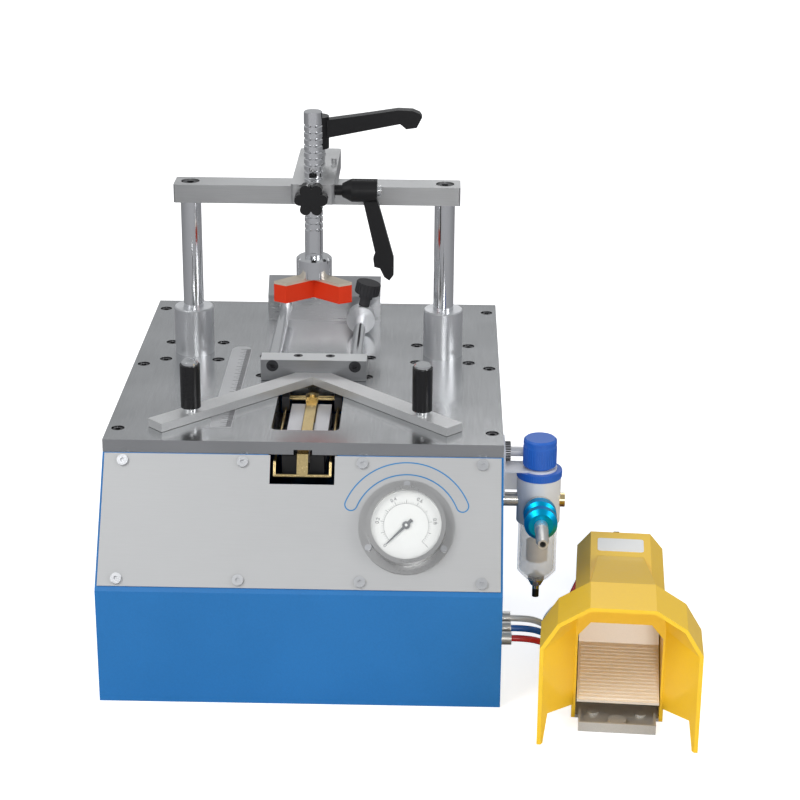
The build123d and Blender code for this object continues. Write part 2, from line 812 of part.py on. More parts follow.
collar = rod((guide_x, collar_y, guide_axis), (guide_x, collar_y + collar_t, guide_axis), collar_r)
collar = collar - rod((guide_x, collar_y, guide_axis), (guide_x, collar_y + collar_t, guide_axis), guide_r)
parts["rod_collar"] = collar - rod(from_rod(guide_r - 1.0), from_rod(collar_r + 1.0), collar_stud_r + run_gap)
parts["guide_rods"] = Compound(children=rods)
head_low = collar_reach - collar_head_h
neck = rod(from_rod(collar_r + slide_gap), from_rod(head_low), collar_neck_r - 1.5)
parts["collar_knob"] = fuse([
    rod(from_rod(guide_r + slide_gap), from_rod(collar_r + 1.0), collar_stud_r),
    neck,
    rod(from_rod(head_low - 5.0), from_rod(head_low), collar_neck_r),
    rod(from_rod(head_low), from_rod(collar_reach), collar_head_r),
])
for name, (x, y) in zip(("left_handle", "right_handle"), handle_spots):
    grip = up(x, y, handle_z0, handle_z1, handle_r)
    cap = up(x, y, handle_z1, handle_z1 + handle_cap_h, handle_r - 1.5)
    cap = chamfer(cap.edges().group_by(Axis.Z)[-1], 1.5)
    parts[name] = fuse([grip, cap]) - up(x, y, handle_z0, handle_z1 - 1.5, spindle_r + run_gap)

# Bent rear stop plate with holes for the guide rods
stop_y = at_v(stop_v)
stop_profile = [
    (stop_y, plate_top),
    (stop_y, plate_top + stop_rise),
    (stop_y + stop_lean, plate_top + stop_rise + stop_lean),
    (stop_y + stop_lean + stop_t / math.sqrt(2), plate_top + stop_rise + stop_lean - stop_t / math.sqrt(2)),
    (stop_y + stop_t, plate_top + stop_rise - stop_t * (math.sqrt(2) - 1)),
    (stop_y + stop_t, plate_top + stop_t),
    (stop_y + stop_foot, plate_top + stop_t),
    (stop_y + stop_foot, plate_top),
]
stop = prism_x(stop_profile, -stop_half, stop_half)
stop_cuts = [
    rod((sx * guide_x, stop_y - 1, guide_axis), (sx * guide_x, stop_y + stop_t + 1, guide_axis), stop_hole_r)
    for sx in (-1, 1)
]
parts["rear_stop_plate"] = stop.cut(*stop_cuts)

# Nail magazine rails hung under the plate
rail_z1 = plate_under - rail_drop
rail_z0 = rail_z1 - rail_h
magazine = [box(-rail_out, rail_out, at_v(rail_v0), at_v(rail_v1), rail_z0 - rail_floor, rail_z0)]
for sx in (-1, 1):
    x0, x1 = sorted((sx * rail_in, sx * rail_out))
    magazine.append(box(x0, x1, at_v(rail_v0), at_v(rail_v1), rail_z0, rail_z1))
    x0, x1 = sorted((sx * (strap_notch_half + 1), sx * rail_out))
    magazine.append(box(x0, x1, at_v(rail_v0) + 4.0, at_v(window_v0) - 3.0, rail_z1, plate_under))
parts["magazine_body"] = fuse(magazine)

# Wire bail, sockets and the pusher with its strap
strap_z0 = plate_under + strap_lift
strap_z1 = strap_z0 + strap_t
wire_z = strap_z1 + wire_r
corners = []
for sx in (-1, 1):
    x = sx * bail_half
    corners.append([(x, bail_y, bail_z), (x, bail_back_y, bail_leg_z), (x, at_v(wire_v[1]) - 1.0, bail_leg_z)])
bail = [rod(corners[0][0], corners[1][0], wire_r)]
for low, bend, end in corners:
    bail += [rod(low, bend, wire_r), rod(bend, end, wire_r), Pos(*low) * Sphere(wire_r), Pos(*bend) * Sphere(wire_r)]
bail = fuse(bail)
parts["pusher_handle"] = bail
front_y = plate_front - 3.0
strap = prism_x([
    (at_v(wire_v[0]) - 3.0, strap_z1),
    (front_y, strap_z1),
    (bail_y - 1.0, bail_z + 0.5),
    (bail_y + 0.4, bail_z),
    (front_y + 0.6, strap_z0),
    (at_v(wire_v[0]) - 3.0, strap_z0),
], -strap_half, strap_half)
clip_y0 = at_v(wire_v[0]) - 3.0
clip_y1 = at_v(wire_v[1]) + 3.0
wires = [rod((-bail_half, at_v(v), wire_z), (bail_half, at_v(v), wire_z), wire_r) for v in wire_v]
pusher = fuse([
    strap,
    box(-strap_half, strap_half, at_v(rail_v1) - 13.0, at_v(rail_v1) - 1.0, rail_z0 + 0.6, strap_z0),
    box(-strap_half - 1, strap_half + 1, clip_y0, clip_y1, strap_z0, wire_z + wire_r + 0.8),
    up(0, (clip_y0 + clip_y1) / 2, wire_z + wire_r + 0.8, wire_z + wire_r + 3.0, 3.5),
    *wires,
])
parts["nail_pusher"] = pusher - bail
sockets = []
for sx in (-1, 1):
    x0, x1 = sorted((sx * (bail_half - 3.5), sx * (bail_half + socket_w - 3.5)))
    socket = box(x0, x1, clip_y0, clip_y1, bail_leg_z - 3.0, wire_z + wire_r + 1.0)
    sockets.append(socket.cut(bail, *wires))
parts["pusher_sockets"] = Compound(children=sockets)

# Nail driver: bridge and cylinder with its ram
ram_y = at_v(ram_v)
bridge_y0 = ram_y - bridge_d / 2
bridge_y1 = ram_y + bridge_d / 2
bridge_top = driver_high + bridge_t
driver = fuse([
    up(0, ram_y, driver_low, driver_high, driver_r),
    box(-bridge_half, bridge_half, bridge_y0, bridge_y1, driver_high, bridge_top),
    box(-bridge_half, bridge_leg - bridge_half, bridge_y0, bridge_y1, bridge_top, plate_under),
    box(bridge_half - bridge_leg, bridge_half, bridge_y0, bridge_y1, bridge_top, plate_under),
])
driver = driver.cut(
    up(0, ram_y, driver_low + driver_floor, driver_high - driver_cap, driver_bore_r + run_gap),
    up(0, ram_y, driver_high - driver_cap, bridge_top, ram_half + run_gap),
)
parts["driver_cylinder"] = driver
ram_rod_top = ram_top - blade_len
ram_z0 = driver_low + ram_piston_low
ram_z1 = ram_z0 + ram_piston_t
parts["driver_ram"] = fuse([
    up(0, ram_y, ram_z0, ram_z1, driver_bore_r),
    up(0, ram_y, ram_z1, ram_rod_top, ram_half),
    box(-ram_half * 0.95, ram_half * 0.95, ram_y - ram_t / 2, ram_y + ram_t / 2, ram_rod_top, ram_top),
])

# Filter regulator
reg_body = fuse([
    up(reg_x, reg_y, reg_z0, reg_z1, reg_r),
    up(reg_x, reg_y, reg_z1, reg_z1 + spindle_reg_h, spindle_reg_r),
])
valve_y1 = reg_y - reg_r
reg_port = rod((reg_x, valve_y1 - 1, reg_port_z), (reg_x, valve_y1 + 8, reg_port_z), barb_r)
parts["regulator_body"] = reg_body - reg_port
ring = up(reg_x, reg_y, reg_z1, reg_z1 + ring_h, ring_r) + up(
    reg_x, reg_y, reg_z1 + ring_h, reg_z1 + ring_h + neck_h, neck_r
)
parts["regulator_ring_nut"] = ring - up(reg_x, reg_y, reg_z1, reg_z1 + ring_h + neck_h, spindle_reg_r)
knob_z0 = reg_z1 + ring_h + neck_h + slide_gap
knob = up(reg_x, reg_y, knob_z0, knob_z0 + knob_h, knob_r)
knob = chamfer(knob.edges().group_by(Axis.Z)[-1], 1.5)
parts["regulator_knob"] = knob - up(
    reg_x, reg_y, knob_z0, reg_z1 + spindle_reg_h + slide_gap, spindle_reg_r + run_gap
)
bowl_z0 = reg_z0 - bowl_h
bowl = lathe(
    [(0, bowl_z0), (bowl_r - 7.0, bowl_z0), (bowl_r, bowl_z0 + 8.0), (bowl_r, reg_z0),
     (bowl_r - bowl_wall, reg_z0), (bowl_r - bowl_wall, bowl_z0 + 9.0), (bowl_r - 8.0, bowl_z0 + bowl_floor),
     (0, bowl_z0 + bowl_floor)],
    reg_x, reg_y,
)
parts["regulator_bowl"] = bowl - up(reg_x, reg_y, bowl_z0, bowl_z0 + bowl_floor, 3.0)
filter_z0 = reg_z0 - filter_h
parts["filter_element"] = up(reg_x, reg_y, filter_z0, reg_z0, filter_r * 0.55) + up(
    reg_x, reg_y, filter_z0, filter_z0 + 18.0, filter_r
)
plug_x0 = reg_x + math.sqrt(reg_r ** 2 - plug_r ** 2) - 2.0
nipple = rod((half_w, reg_y, reg_port_z), (reg_x, reg_y, reg_port_z), nipple_r)
nipple = nipple + rod((half_w - bulk_inside, reg_y, reg_port_z), (half_w, reg_y, reg_port_z), nipple_shank_r)
plug = rod((plug_x0, reg_y, reg_port_z), (reg_x + reg_r + plug_len, reg_y, reg_port_z), plug_r)
drain = lathe(
    [(0, bowl_z0 + bowl_floor + 2.0), (3.0, bowl_z0 + bowl_floor + 2.0), (3.0, bowl_z0), (drain_r + 2.5, bowl_z0),
     (drain_r + 2.5, bowl_z0 - 3.0), (drain_r, bowl_z0 - 8.0), (3.2, bowl_z0 - 9.0), (3.2, bowl_z0 - drain_h),
     (0, bowl_z0 - drain_h)],
    reg_x, reg_y,
)
boss_y0 = valve_y1 - boss_valve_len
valve_boss = rod((reg_x, boss_y0, reg_port_z), (reg_x, reg_y - 14.0, reg_port_z), boss_valve_r)
valve_boss = valve_boss.cut(up(reg_x, reg_y, reg_z0, reg_z1, reg_r), reg_port,
                            rod((reg_x, boss_y0, reg_port_z), (reg_x, reg_y, reg_port_z), barb_r))
body_round = up(reg_x, reg_y, reg_z0, reg_z1, reg_r)
parts["regulator_fittings"] = Compound(children=[nipple.cut(body_round), plug.cut(body_round), drain, valve_boss])
barb_y1 = valve_y1 + 8.0
barb = rod((reg_x, sleeve_y0 - 10.0, reg_port_z), (reg_x, barb_y1, reg_port_z), barb_r)
barb_pieces = [barb]
barb_y = sleeve_y0 - 10.0
barb_step = (barb_y - barb_end) / 4
for i in range(4):
    step_y = barb_y - (i + 1) * barb_step
    barb_pieces.append(
        Plane(origin=(reg_x, step_y, reg_port_z), z_dir=(0, 1, 0))
        * Cone(barb_r - 1.6, barb_r - 0.2, barb_step, align=BASE)
    )
barb = fuse(barb_pieces)
parts["hose_barb"] = barb - rod((reg_x, barb_end - 1, reg_port_z), (reg_x, sleeve_y1, reg_port_z), barb_bore_r)
sleeve = Plane(origin=(reg_x, sleeve_y0, reg_port_z), z_dir=(0, 1, 0)) * lathe(
    [(0, 0), (sleeve_r - 4.0, 0), (sleeve_r, 4.0), (sleeve_r, 11.0), (sleeve_r - sleeve_groove - 2.0, 13.5),
     (sleeve_r - sleeve_groove - 2.0, 18.0), (sleeve_r, 21.0), (sleeve_r, sleeve_y1 - sleeve_y0 - 2.0),
     (sleeve_r - 2.0, sleeve_y1 - sleeve_y0), (0, sleeve_y1 - sleeve_y0)],
    0, 0,
)
parts["valve_sleeve"] = sleeve - rod(
    (reg_x, sleeve_y0 - 1, reg_port_z), (reg_x, sleeve_y1 + 1, reg_port_z), barb_r + run_gap
)
bracket_x1 = half_w + bracket_t
ear_z0 = reg_z1 + ring_h
bracket = fuse([
    box(half_w, bracket_x1, bracket_y0, bracket_y1, bracket_z0, bracket_z1),
    box(half_w, reg_x, reg_y + 3.0, reg_y + 6.0, bracket_z0, ear_z0 + ear_t),
    box(half_w, reg_x, reg_y - neck_r, reg_y + neck_r, ear_z0, ear_z0 + ear_t),
    up(reg_x, reg_y, ear_z0, ear_z0 + ear_t, ear_r),
])
bracket = bracket.cut(
    body_round,
    up(reg_x, reg_y, reg_z1, ear_z0, ring_r),
    up(reg_x, reg_y, ear_z0, ear_z0 + ear_t, neck_r),
)
clamp_x1 = bracket_x1 + clamp_h
clamp = rod((bracket_x1, clamp_y, clamp_z), (clamp_x1, clamp_y, clamp_z), clamp_r) + rod(
    (clamp_x1, clamp_y, clamp_z), (clamp_x1 + 14.0, clamp_y, clamp_z), clamp_r / 2
)
parts["regulator_bracket"] = Compound(children=[bracket, clamp])

# Foot valve
foot = Pos(foot_x, foot_y, 0) * Rot(0, 0, foot_turn)


def wall_in(points, wall):
    """Upright profile drawn in by a wall, closed at the floor."""
    half = [(x, z) for x, z in points if x > 0]
    lines = []
    for (x0, z0), (x1, z1) in zip(half, half[1:] + [(0.0, half[-1][1])]):
        length = math.hypot(x1 - x0, z1 - z0)
        nx = -(z1 - z0) / length * wall
        nz = (x1 - x0) / length * wall
        lines.append(((x0 + nx, z0 + nz), (x1 + nx, z1 + nz)))
    drawn = [lines[0][0]]
    for (a, b), (c, d) in zip(lines, lines[1:]):
        ux, uz = b[0] - a[0], b[1] - a[1]
        vx, vz = d[0] - c[0], d[1] - c[1]
        k = ((c[0] - a[0]) * vz - (c[1] - a[1]) * vx) / (ux * vz - uz * vx)
        drawn.append((a[0] + ux * k, a[1] + uz * k))
    return drawn + [(-x, z) for x, z in reversed(drawn)]


def funnel(front, back, y0, y1):
    """Solid that runs straight from one upright outline to another."""
    wires = [
        Wire.make_polygon([Vector(x, y, z) for x, z in points], close=True)
        for points, y in ((front, y0), (back, y1))
    ]
    return Solid.make_loft(wires, ruled=True)


hood_pts = [(hood_half, 0.0), (hood_half, hood_side_h), (hood_mid_half, hood_mid_h), (hood_top_half, hood_h)]
hood_pts += [(-x, z) for x, z in reversed(hood_pts)]
cover_pts = [(shell_half, 0.0), (shell_half, shell_side_h), (shell_top_half, shell_h)]
cover_pts += [(-x, z) for x, z in reversed(cover_pts)]
cover_in = wall_in(cover_pts, hood_wall)
back_pts = [(shell_half, 0.0), (shell_half, hood_side_h), (hood_back_mid_half, hood_back_mid_h)]
back_pts.append((hood_top_half, hood_h))
back_pts += [(-x, z) for x, z in reversed(back_pts)]
hood_in = funnel(wall_in(hood_pts, hood_wall), wall_in(back_pts, hood_wall), 0, hood_len)
hood_in = hood_in - box(-hood_half, hood_half, hood_len - hood_wall, hood_len, 0, hood_h)
hood_pockets = prism_y(wall_in(hood_pts, hood_wall), hood_wall, hood_len - hood_wall)
hood_pockets = hood_pockets - funnel(hood_pts, back_pts, 0, hood_len)
hood = prism_y(hood_pts, 0, hood_len) - hood_in - hood_pockets
hood = hood - prism_y(cover_in, hood_len - hood_wall, hood_len)
hood = hood - prism_x([(3.0, 0), (9.0, 26.0), (hood_len, 14.0), (hood_len, 0)], -hood_half, hood_half)
shell_body = prism_y(cover_pts, hood_len, shell_len) - prism_y(cover_in, hood_len, shell_len - hood_wall)
wedge = polyhedron(
    [(-wedge_half, hood_len, shell_h), (wedge_half, hood_len, shell_h), (wedge_end_half, wedge_end, shell_h),
     (-wedge_end_half, wedge_end, shell_h), (-hood_top_half, hood_len, hood_h), (hood_top_half, hood_len, hood_h)],
    [(0, 1, 2, 3), (0, 4, 5, 1), (3, 2, 5, 4), (0, 3, 4), (1, 5, 2)],
)
wedge_under = box(-shell_top_half, shell_top_half, hood_len, wedge_end, shell_h - 1.0, shell_h)
port_holes = [
    rod((x, shell_len - hood_wall, valve_port_z), (x, shell_len, valve_port_z), valve_fit_r - 1.0)
    for x in valve_port_x.values()
]
guard = fuse([hood, shell_body, wedge, wedge_under]).cut(*port_holes)
parts["foot_guard"] = foot * guard
cover_half_in = shell_half - hood_wall
tray_end = shell_len - hood_wall
tray = fuse([
    box(-tray_half, tray_half, tray_front, hood_len, 0, tray_t),
    box(-tray_half, tray_half, tray_front, tray_front + tray_wall, 0, tray_rim),
    box(-tray_half, tray_wall - tray_half, tray_front, hood_len, 0, tray_rim),
    box(tray_half - tray_wall, tray_half, tray_front, hood_len, 0, tray_rim),
    box(-cover_half_in, cover_half_in, hood_len, tray_end, 0, tray_t),
    up(-21.0, 56.0, tray_t, tray_t + 2.0, 5.0),
    up(21.0, 56.0, tray_t, tray_t + 2.0, 5.0),
    up(0, tray_front + 12.0, tray_t, tray_t + 4.0, 8.0),
])
parts["foot_base"] = foot * tray
parts["foot_valve_body"] = foot * box(
    -foot_body_half, foot_body_half, foot_body_y, tray_end, tray_t, foot_body_h
)
parts["pedal_pivot"] = foot * rod((-cover_half_in, pivot_y, pivot_z), (cover_half_in, pivot_y, pivot_z), pivot_r)
ribs = []
lip_y, lip_z = pedal_lip
bend_y, bend_z = pedal_bend
toe_y, toe_z = pedal_toe
tread_len = math.hypot(bend_y - lip_y, bend_z - lip_z)
ty = (bend_y - lip_y) / tread_len
tz = (bend_z - lip_z) / tread_len
tread = prism_x([
    (lip_y, lip_z), (bend_y, bend_z), (toe_y, toe_z), (toe_y + pedal_t, toe_z),
    (bend_y + pedal_t, bend_z - pedal_t), (lip_y + tz * pedal_t, lip_z - ty * pedal_t),
], -pedal_half, pedal_half)
rib_pitch = tread_len / (pedal_rib_count + 1)
for i in range(pedal_rib_count):
    d = rib_pitch * (i + 0.6)
    rib_profile = []
    for along, high in ((0, -0.5), (rib_pitch * 0.45, -0.5), (rib_pitch * 0.45, 1.0), (0, 1.0)):
        rib_profile.append((lip_y + ty * (d + along) - tz * high, lip_z + tz * (d + along) + ty * high))
    ribs.append(prism_x(rib_profile, 2.0 - pedal_half, pedal_half - 2.0))
webs = []
for sx in (-1, 1):
    x0, x1 = sorted((sx * (pedal_half - 2.0), sx * (pedal_half - 2.0 - pedal_lug_t)))
    webs.append(prism_x([
        (bend_y - 40.0 * ty, bend_z - 40.0 * tz - 2.0), (bend_y, bend_z - 2.0), (bend_y + 4.0, bend_z + 8.0),
        (pivot_y + 6.0, pivot_z + 5.0), (pivot_y, pivot_z - pedal_lug_r + 0.5),
    ], x0, x1))
    webs.append(rod((x0, pivot_y, pivot_z), (x1, pivot_y, pivot_z), pedal_lug_r))
pedal = fuse([tread, *ribs, *webs])
parts["foot_pedal"] = foot * (
    pedal - rod((-cover_half_in, pivot_y, pivot_z), (cover_half_in, pivot_y, pivot_z), pivot_r + run_gap)
)

# Fittings for the air lines
fittings = []
for y in bulk_y.values():
    fittings.append(fuse([
        rod((half_w - bulk_inside, y, bulk_z), (half_w, y, bulk_z), bulk_shank_r),
        rod((half_w, y, bulk_z), (half_w + bulk_len, y, bulk_z), bulk_r),
    ]))
for x in valve_port_x.values():
    fittings.append(foot * fuse([
        rod((x, tray_end, valve_port_z), (x, shell_len, valve_port_z), valve_fit_r - 1.0),
        rod((x, shell_len, valve_port_z), (x, shell_len + valve_fit_len, valve_port_z), valve_fit_r),
    ]))
parts["tube_fittings"] = Compound(children=fittings)


def unit(v):
    """Vector of length one."""
    return v.normalized()


def biarc(p0, t0, p1, t1):
    """Two tangent arcs from one point and heading to another."""
    v = p1 - p0
    t = t0 + t1
    b = v.dot(t)
    c = 2 * (1 - t0.dot(t1))
    d = (-b + math.sqrt(b * b + c * v.dot(v))) / c
    joint = (p0 + t0 * d + p1 - t1 * d) * 0.5
    first = Edge.make_tangent_arc(p0, t0, joint)
    heading = first.tangent_at(1)
    return [first, Edge.make_tangent_arc(joint, heading, p1)]


def coil_point(turn, low):
    """Centre line of a two-layer coil: in, up, and out again."""
    layer = coil_turns
    if turn <= layer:
        radius = coil_outer + (coil_inner - coil_outer) * turn / layer
        height = low
    elif turn <= layer + 0.5:
        share = (turn - layer) / 0.5
        radius = coil_inner - (coil_outer - coil_inner) / layer / 2 * min(share, 1 - share)
        height = low + coil_pitch_z * share * share * (3 - 2 * share)
    else:
        radius = coil_inner + (coil_outer - coil_inner) * (turn - layer - 0.5) / layer
        height = low + coil_pitch_z
    angle = math.pi - 2 * math.pi * turn
    return Vector(coil_x + radius * math.cos(angle), coil_y + radius * math.sin(angle), height)


def coil_path(low):
    """Wire of biarcs by quarter turns, with one diameter of straight at each end."""
    total = 2 * coil_turns + 0.5
    count = round(total * 4)
    points = [coil_point(total * i / count, low) for i in range(count + 1)]
    headings = []
    for i in range(count + 1):
        a = coil_point(max(total * i / count - 0.001, 0), low)
        b = coil_point(min(total * i / count + 0.001, total), low)
        headings.append(unit(b - a))
    headings[0] = Vector(0, 1, 0)
    headings[-1] = Vector(0, -1, 0)
    start = points[0] - headings[0] * (2 * air_r)
    end = points[-1] + headings[-1] * (2 * air_r)
    edges = [Edge.make_line(start, points[0])]
    for i in range(count):
        edges += biarc(points[i], headings[i], points[i + 1], headings[i + 1])
    edges.append(Edge.make_line(points[-1], end))
    return Wire(edges), start, end


def coil_gap(path):
    """Least gap between the coil's own turns, measured on points of its centre line."""
    turns = 2 * coil_turns + 0.5
    steps = round(turns * 60)
    pts = [path.position_at(i / steps) for i in range(steps + 1)]
    least = path.length
    for i, p in enumerate(pts):
        for q in pts[i + 30:]:
            least = min(least, (p - q).length)
    return least - 2 * air_r


def tube_path(points):
    """Straight runs joined by arcs as large as the two runs allow."""
    points = [Vector(*p) for p in points]
    radii = []
    for a, b, c in zip(points, points[1:], points[2:]):
        turn = math.radians((b - a).get_angle(c - b))
        radii.append(0.45 * min((b - a).length, (c - b).length) / math.tan(turn / 2))
    return FilletPolyline(*points, radius=radii), radii


def sweep_round(path, start, heading):
    """Round tube along a path."""
    return sweep(Plane(origin=start, z_dir=heading) * Circle(air_r), path=path)


# Points of each route between its square ends, at the bulkhead, the coil and the valve
lead_end_run = 16.0
tail_end_run = 14.0
fit_x = half_w + bulk_len
routes = {
    "red": [(222, -196, 43.5), (234, -186, 32), (239, -168, 18), (241, -148, 8), (240, -125, 3.6),
            (240.5, -101, 3.4), (243, -78, 7.5), (249.5, -57, 13.5), (256, -39, 20.5), (263, -24, 27)],
    "blue": [(220, -175.5, 44), (229.5, -165, 33), (233, -147, 19), (234, -127, 8.5), (232.5, -105, 3.8),
             (234, -82, 4.2), (240, -60, 6.6), (249, -41, 10), (258.5, -25, 14)],
    "white": [(218, -155.5, 44.5), (225.5, -145, 33.5), (227.5, -127, 20), (226.5, -107, 9.5), (225.5, -85, 4),
              (229, -63, 3.5), (238, -43, 3.9), (252, -27, 4.2)],
}
tails = {
    "red": [(336, -22, 35.5), (322, -30, 32), (304, -33, 27.5), (288, -36, 24)],
    "blue": [(337, -25, 24), (324, -37, 23.4), (308, -40, 22.5)],
    "white": [(339, -26, 13.5), (329, -39, 18)],
}
turn_a = math.radians(foot_turn)
lengths = {}
for name in ("white", "blue", "red"):
    low = coil_base[name]
    wire, coil_start, coil_end = coil_path(low)
    coil = sweep_round(wire, coil_start, (0, 1, 0))
    parts[name + "_tube_coil"] = coil
    first = (fit_x, bulk_y[name], bulk_z)
    second = (fit_x + lead_end_run, bulk_y[name], bulk_z)
    before = coil_start - Vector(0, lead_end_run, 0)
    lead, lead_radii = tube_path([first, second] + routes[name] + [tuple(before), tuple(coil_start)])
    lead_tube = sweep_round(lead, lead @ 0, lead % 0)
    ports = []
    for reach_out in (shell_len + valve_fit_len + tail_end_run, shell_len + valve_fit_len):
        px = valve_port_x[name]
        ports.append((
            foot_x + px * math.cos(turn_a) - reach_out * math.sin(turn_a),
            foot_y + px * math.sin(turn_a) + reach_out * math.cos(turn_a),
            valve_port_z,
        ))
    after = coil_end - Vector(0, lead_end_run, 0)
    tail, tail_radii = tube_path([tuple(coil_end), tuple(after)] + tails[name] + ports)
    tail_tube = sweep_round(tail, tail @ 0, tail % 0)
    parts[name + "_tube"] = Compound(children=[lead_tube, tail_tube])
    section = math.pi * air_r ** 2
    for label, solid, path in (("coil", coil, wire), ("lead", lead_tube, lead), ("tail", tail_tube, tail)):
        print(f"{name} {label}: length {path.length:.1f}, volume share {solid.volume / section / path.length:.4f}")
    print(f"{name}: least coil gap {coil_gap(wire):.2f}, lead radii {[round(r) for r in lead_radii]},"
          f" tail radii {[round(r) for r in tail_radii]}")
    lengths[name] = wire.length + lead.length + tail.length
    print(f"{name}: whole tube {lengths[name]:.0f} mm")

# Tie round the three stacked coils, on their back side
tie_in = coil_inner - air_r - tie_gap
tie_out = coil_outer + air_r + tie_gap
tie_low = coil_base["white"] - air_r - tie_gap
tie_high = coil_base["red"] + coil_pitch_z + air_r + tie_gap
tie_half = tie_w / 2
tie = box(coil_x - tie_half, coil_x + tie_half, coil_y + tie_in - tie_t, coil_y + tie_out + tie_t,
          tie_low - tie_t, tie_high + tie_t)
parts["coil_tie"] = tie - box(
    coil_x - tie_half, coil_x + tie_half, coil_y + tie_in, coil_y + tie_out, tie_low, tie_high
)

os.makedirs("parts", exist_ok=True)
for name, shape in parts.items():
    if isinstance(shape, (list, ShapeList)):
        shape = Compound(children=list(shape))
    export_step(shape, f"parts/{name}.step")
print(len(parts), "nodes")
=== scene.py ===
"""Dressed model of a pneumatic picture-frame nailing machine with its regulator and foot valve."""

from __future__ import annotations

import logging
import math
from dataclasses import dataclass, replace
from enum import Enum

import bmesh
import bpy
from mathutils import Matrix, Vector

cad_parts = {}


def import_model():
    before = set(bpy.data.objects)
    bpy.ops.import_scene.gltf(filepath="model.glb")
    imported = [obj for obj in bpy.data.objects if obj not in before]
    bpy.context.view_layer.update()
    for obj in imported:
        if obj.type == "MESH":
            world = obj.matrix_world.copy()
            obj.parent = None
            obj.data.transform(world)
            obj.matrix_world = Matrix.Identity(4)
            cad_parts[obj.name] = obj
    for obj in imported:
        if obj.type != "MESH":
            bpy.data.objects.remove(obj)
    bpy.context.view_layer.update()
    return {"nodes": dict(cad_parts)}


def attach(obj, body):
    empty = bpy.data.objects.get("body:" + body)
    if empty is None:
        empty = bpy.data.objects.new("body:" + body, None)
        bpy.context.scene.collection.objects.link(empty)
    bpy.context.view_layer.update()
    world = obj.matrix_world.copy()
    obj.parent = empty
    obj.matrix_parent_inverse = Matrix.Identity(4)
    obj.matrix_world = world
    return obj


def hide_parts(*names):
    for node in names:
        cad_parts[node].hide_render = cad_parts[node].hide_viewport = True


LOG = logging.getLogger("nailing_machine")
MM = 0.001
Spot = tuple[float, float]
Point = tuple[float, float, float]
Socket = bpy.types.NodeSocket
Fed = Socket | float | tuple[float, ...]


class Grain(Enum):
    """How a surface is broken up."""

    SMOOTH = "smooth"
    BRUSHED = "brushed"
    TURNED = "turned"
    PEEL = "peel"
    SPECKLED = "speckled"


class Axis(Enum):
    """A direction of the machine's frame."""

    X = 0
    Y = 1
    Z = 2


class Mix(Enum):
    """What a Mix node blends: its data type, its first value's place and its result's place."""

    NUMBER = ("FLOAT", 2, 0)
    COLOUR = ("RGBA", 6, 2)


@dataclass(frozen=True)
class NodeDesk:
    """Short ways to add nodes to a tree and to link them."""

    tree: bpy.types.NodeTree

    def add(self, kind: str, **settings: object) -> bpy.types.Node:
        """New node.

        Args:
            kind: Blender's name of the node's type.
            **settings: Attributes of the node.

        Returns:
            The node.
        """
        node = self.tree.nodes.new(kind)
        for name, value in settings.items():
            setattr(node, name, value)
        return node

    def join(self, source: Socket, target: Socket) -> None:
        """Links an output to an input."""
        self.tree.links.new(source, target)

    def feed(self, value: Fed, target: Socket) -> None:
        """Gives an input either an output's value or a plain one.

        Args:
            value: An output socket, a number or a colour.
            target: The input.
        """
        if isinstance(value, Socket):
            self.join(value, target)
        else:
            target.default_value = value

    def sum_of(self, operation: str, first: Fed, second: Fed = 0.0) -> Socket:
        """Result of a sum.

        Args:
            operation: Blender's name of the sum.
            first: The first value.
            second: The second value, where the sum has one.

        Returns:
            The output socket.
        """
        node = self.add("ShaderNodeMath", operation=operation)
        self.feed(first, node.inputs[0])
        self.feed(second, node.inputs[1])
        return node.outputs[0]

    def noise(self, place: Socket, scale: float, layers: float) -> Socket:
        """Noise over a surface.

        Args:
            place: Where the noise is read.
            scale: Patches per unit of the place.
            layers: How many finer layers it has.

        Returns:
            The noise, from 0 to 1.
        """
        node = self.add("ShaderNodeTexNoise")
        node.inputs["Scale"].default_value = scale
        node.inputs["Detail"].default_value = layers
        self.join(place, node.inputs["Vector"])
        return node.outputs["Fac"]

    def blend(self, kind: Mix, share: Socket, first: Fed, second: Fed) -> Socket:
        """Value that goes from the first to the second.

        Args:
            kind: What is blended.
            share: How much of the second it has.
            first: The first value.
            second: The second value.

        Returns:
            The output socket.
        """
        data_type, place, result = kind.value
        node = self.add("ShaderNodeMix", data_type=data_type)
        self.join(share, node.inputs[0])
        self.feed(first, node.inputs[place])
        self.feed(second, node.inputs[place + 1])
        return node.outputs[result]


@dataclass(frozen=True)
class Zone:
    """A second colour on the part of a piece past a plane, in millimetres."""

    axis: Axis
    past: float
    above: bool
    colour: Point
    metallic: float
    roughness: float

    def share(self, desk: NodeDesk, split: bpy.types.Node) -> Socket:
        """One past the plane and nothing before it.

        Args:
            desk: The material's nodes.
            split: Node that gives the place's X, Y and Z.

        Returns:
            The output socket.
        """
        side = "GREATER_THAN" if self.above else "LESS_THAN"
        return desk.sum_of(side, split.outputs[self.axis.value], self.past * MM)


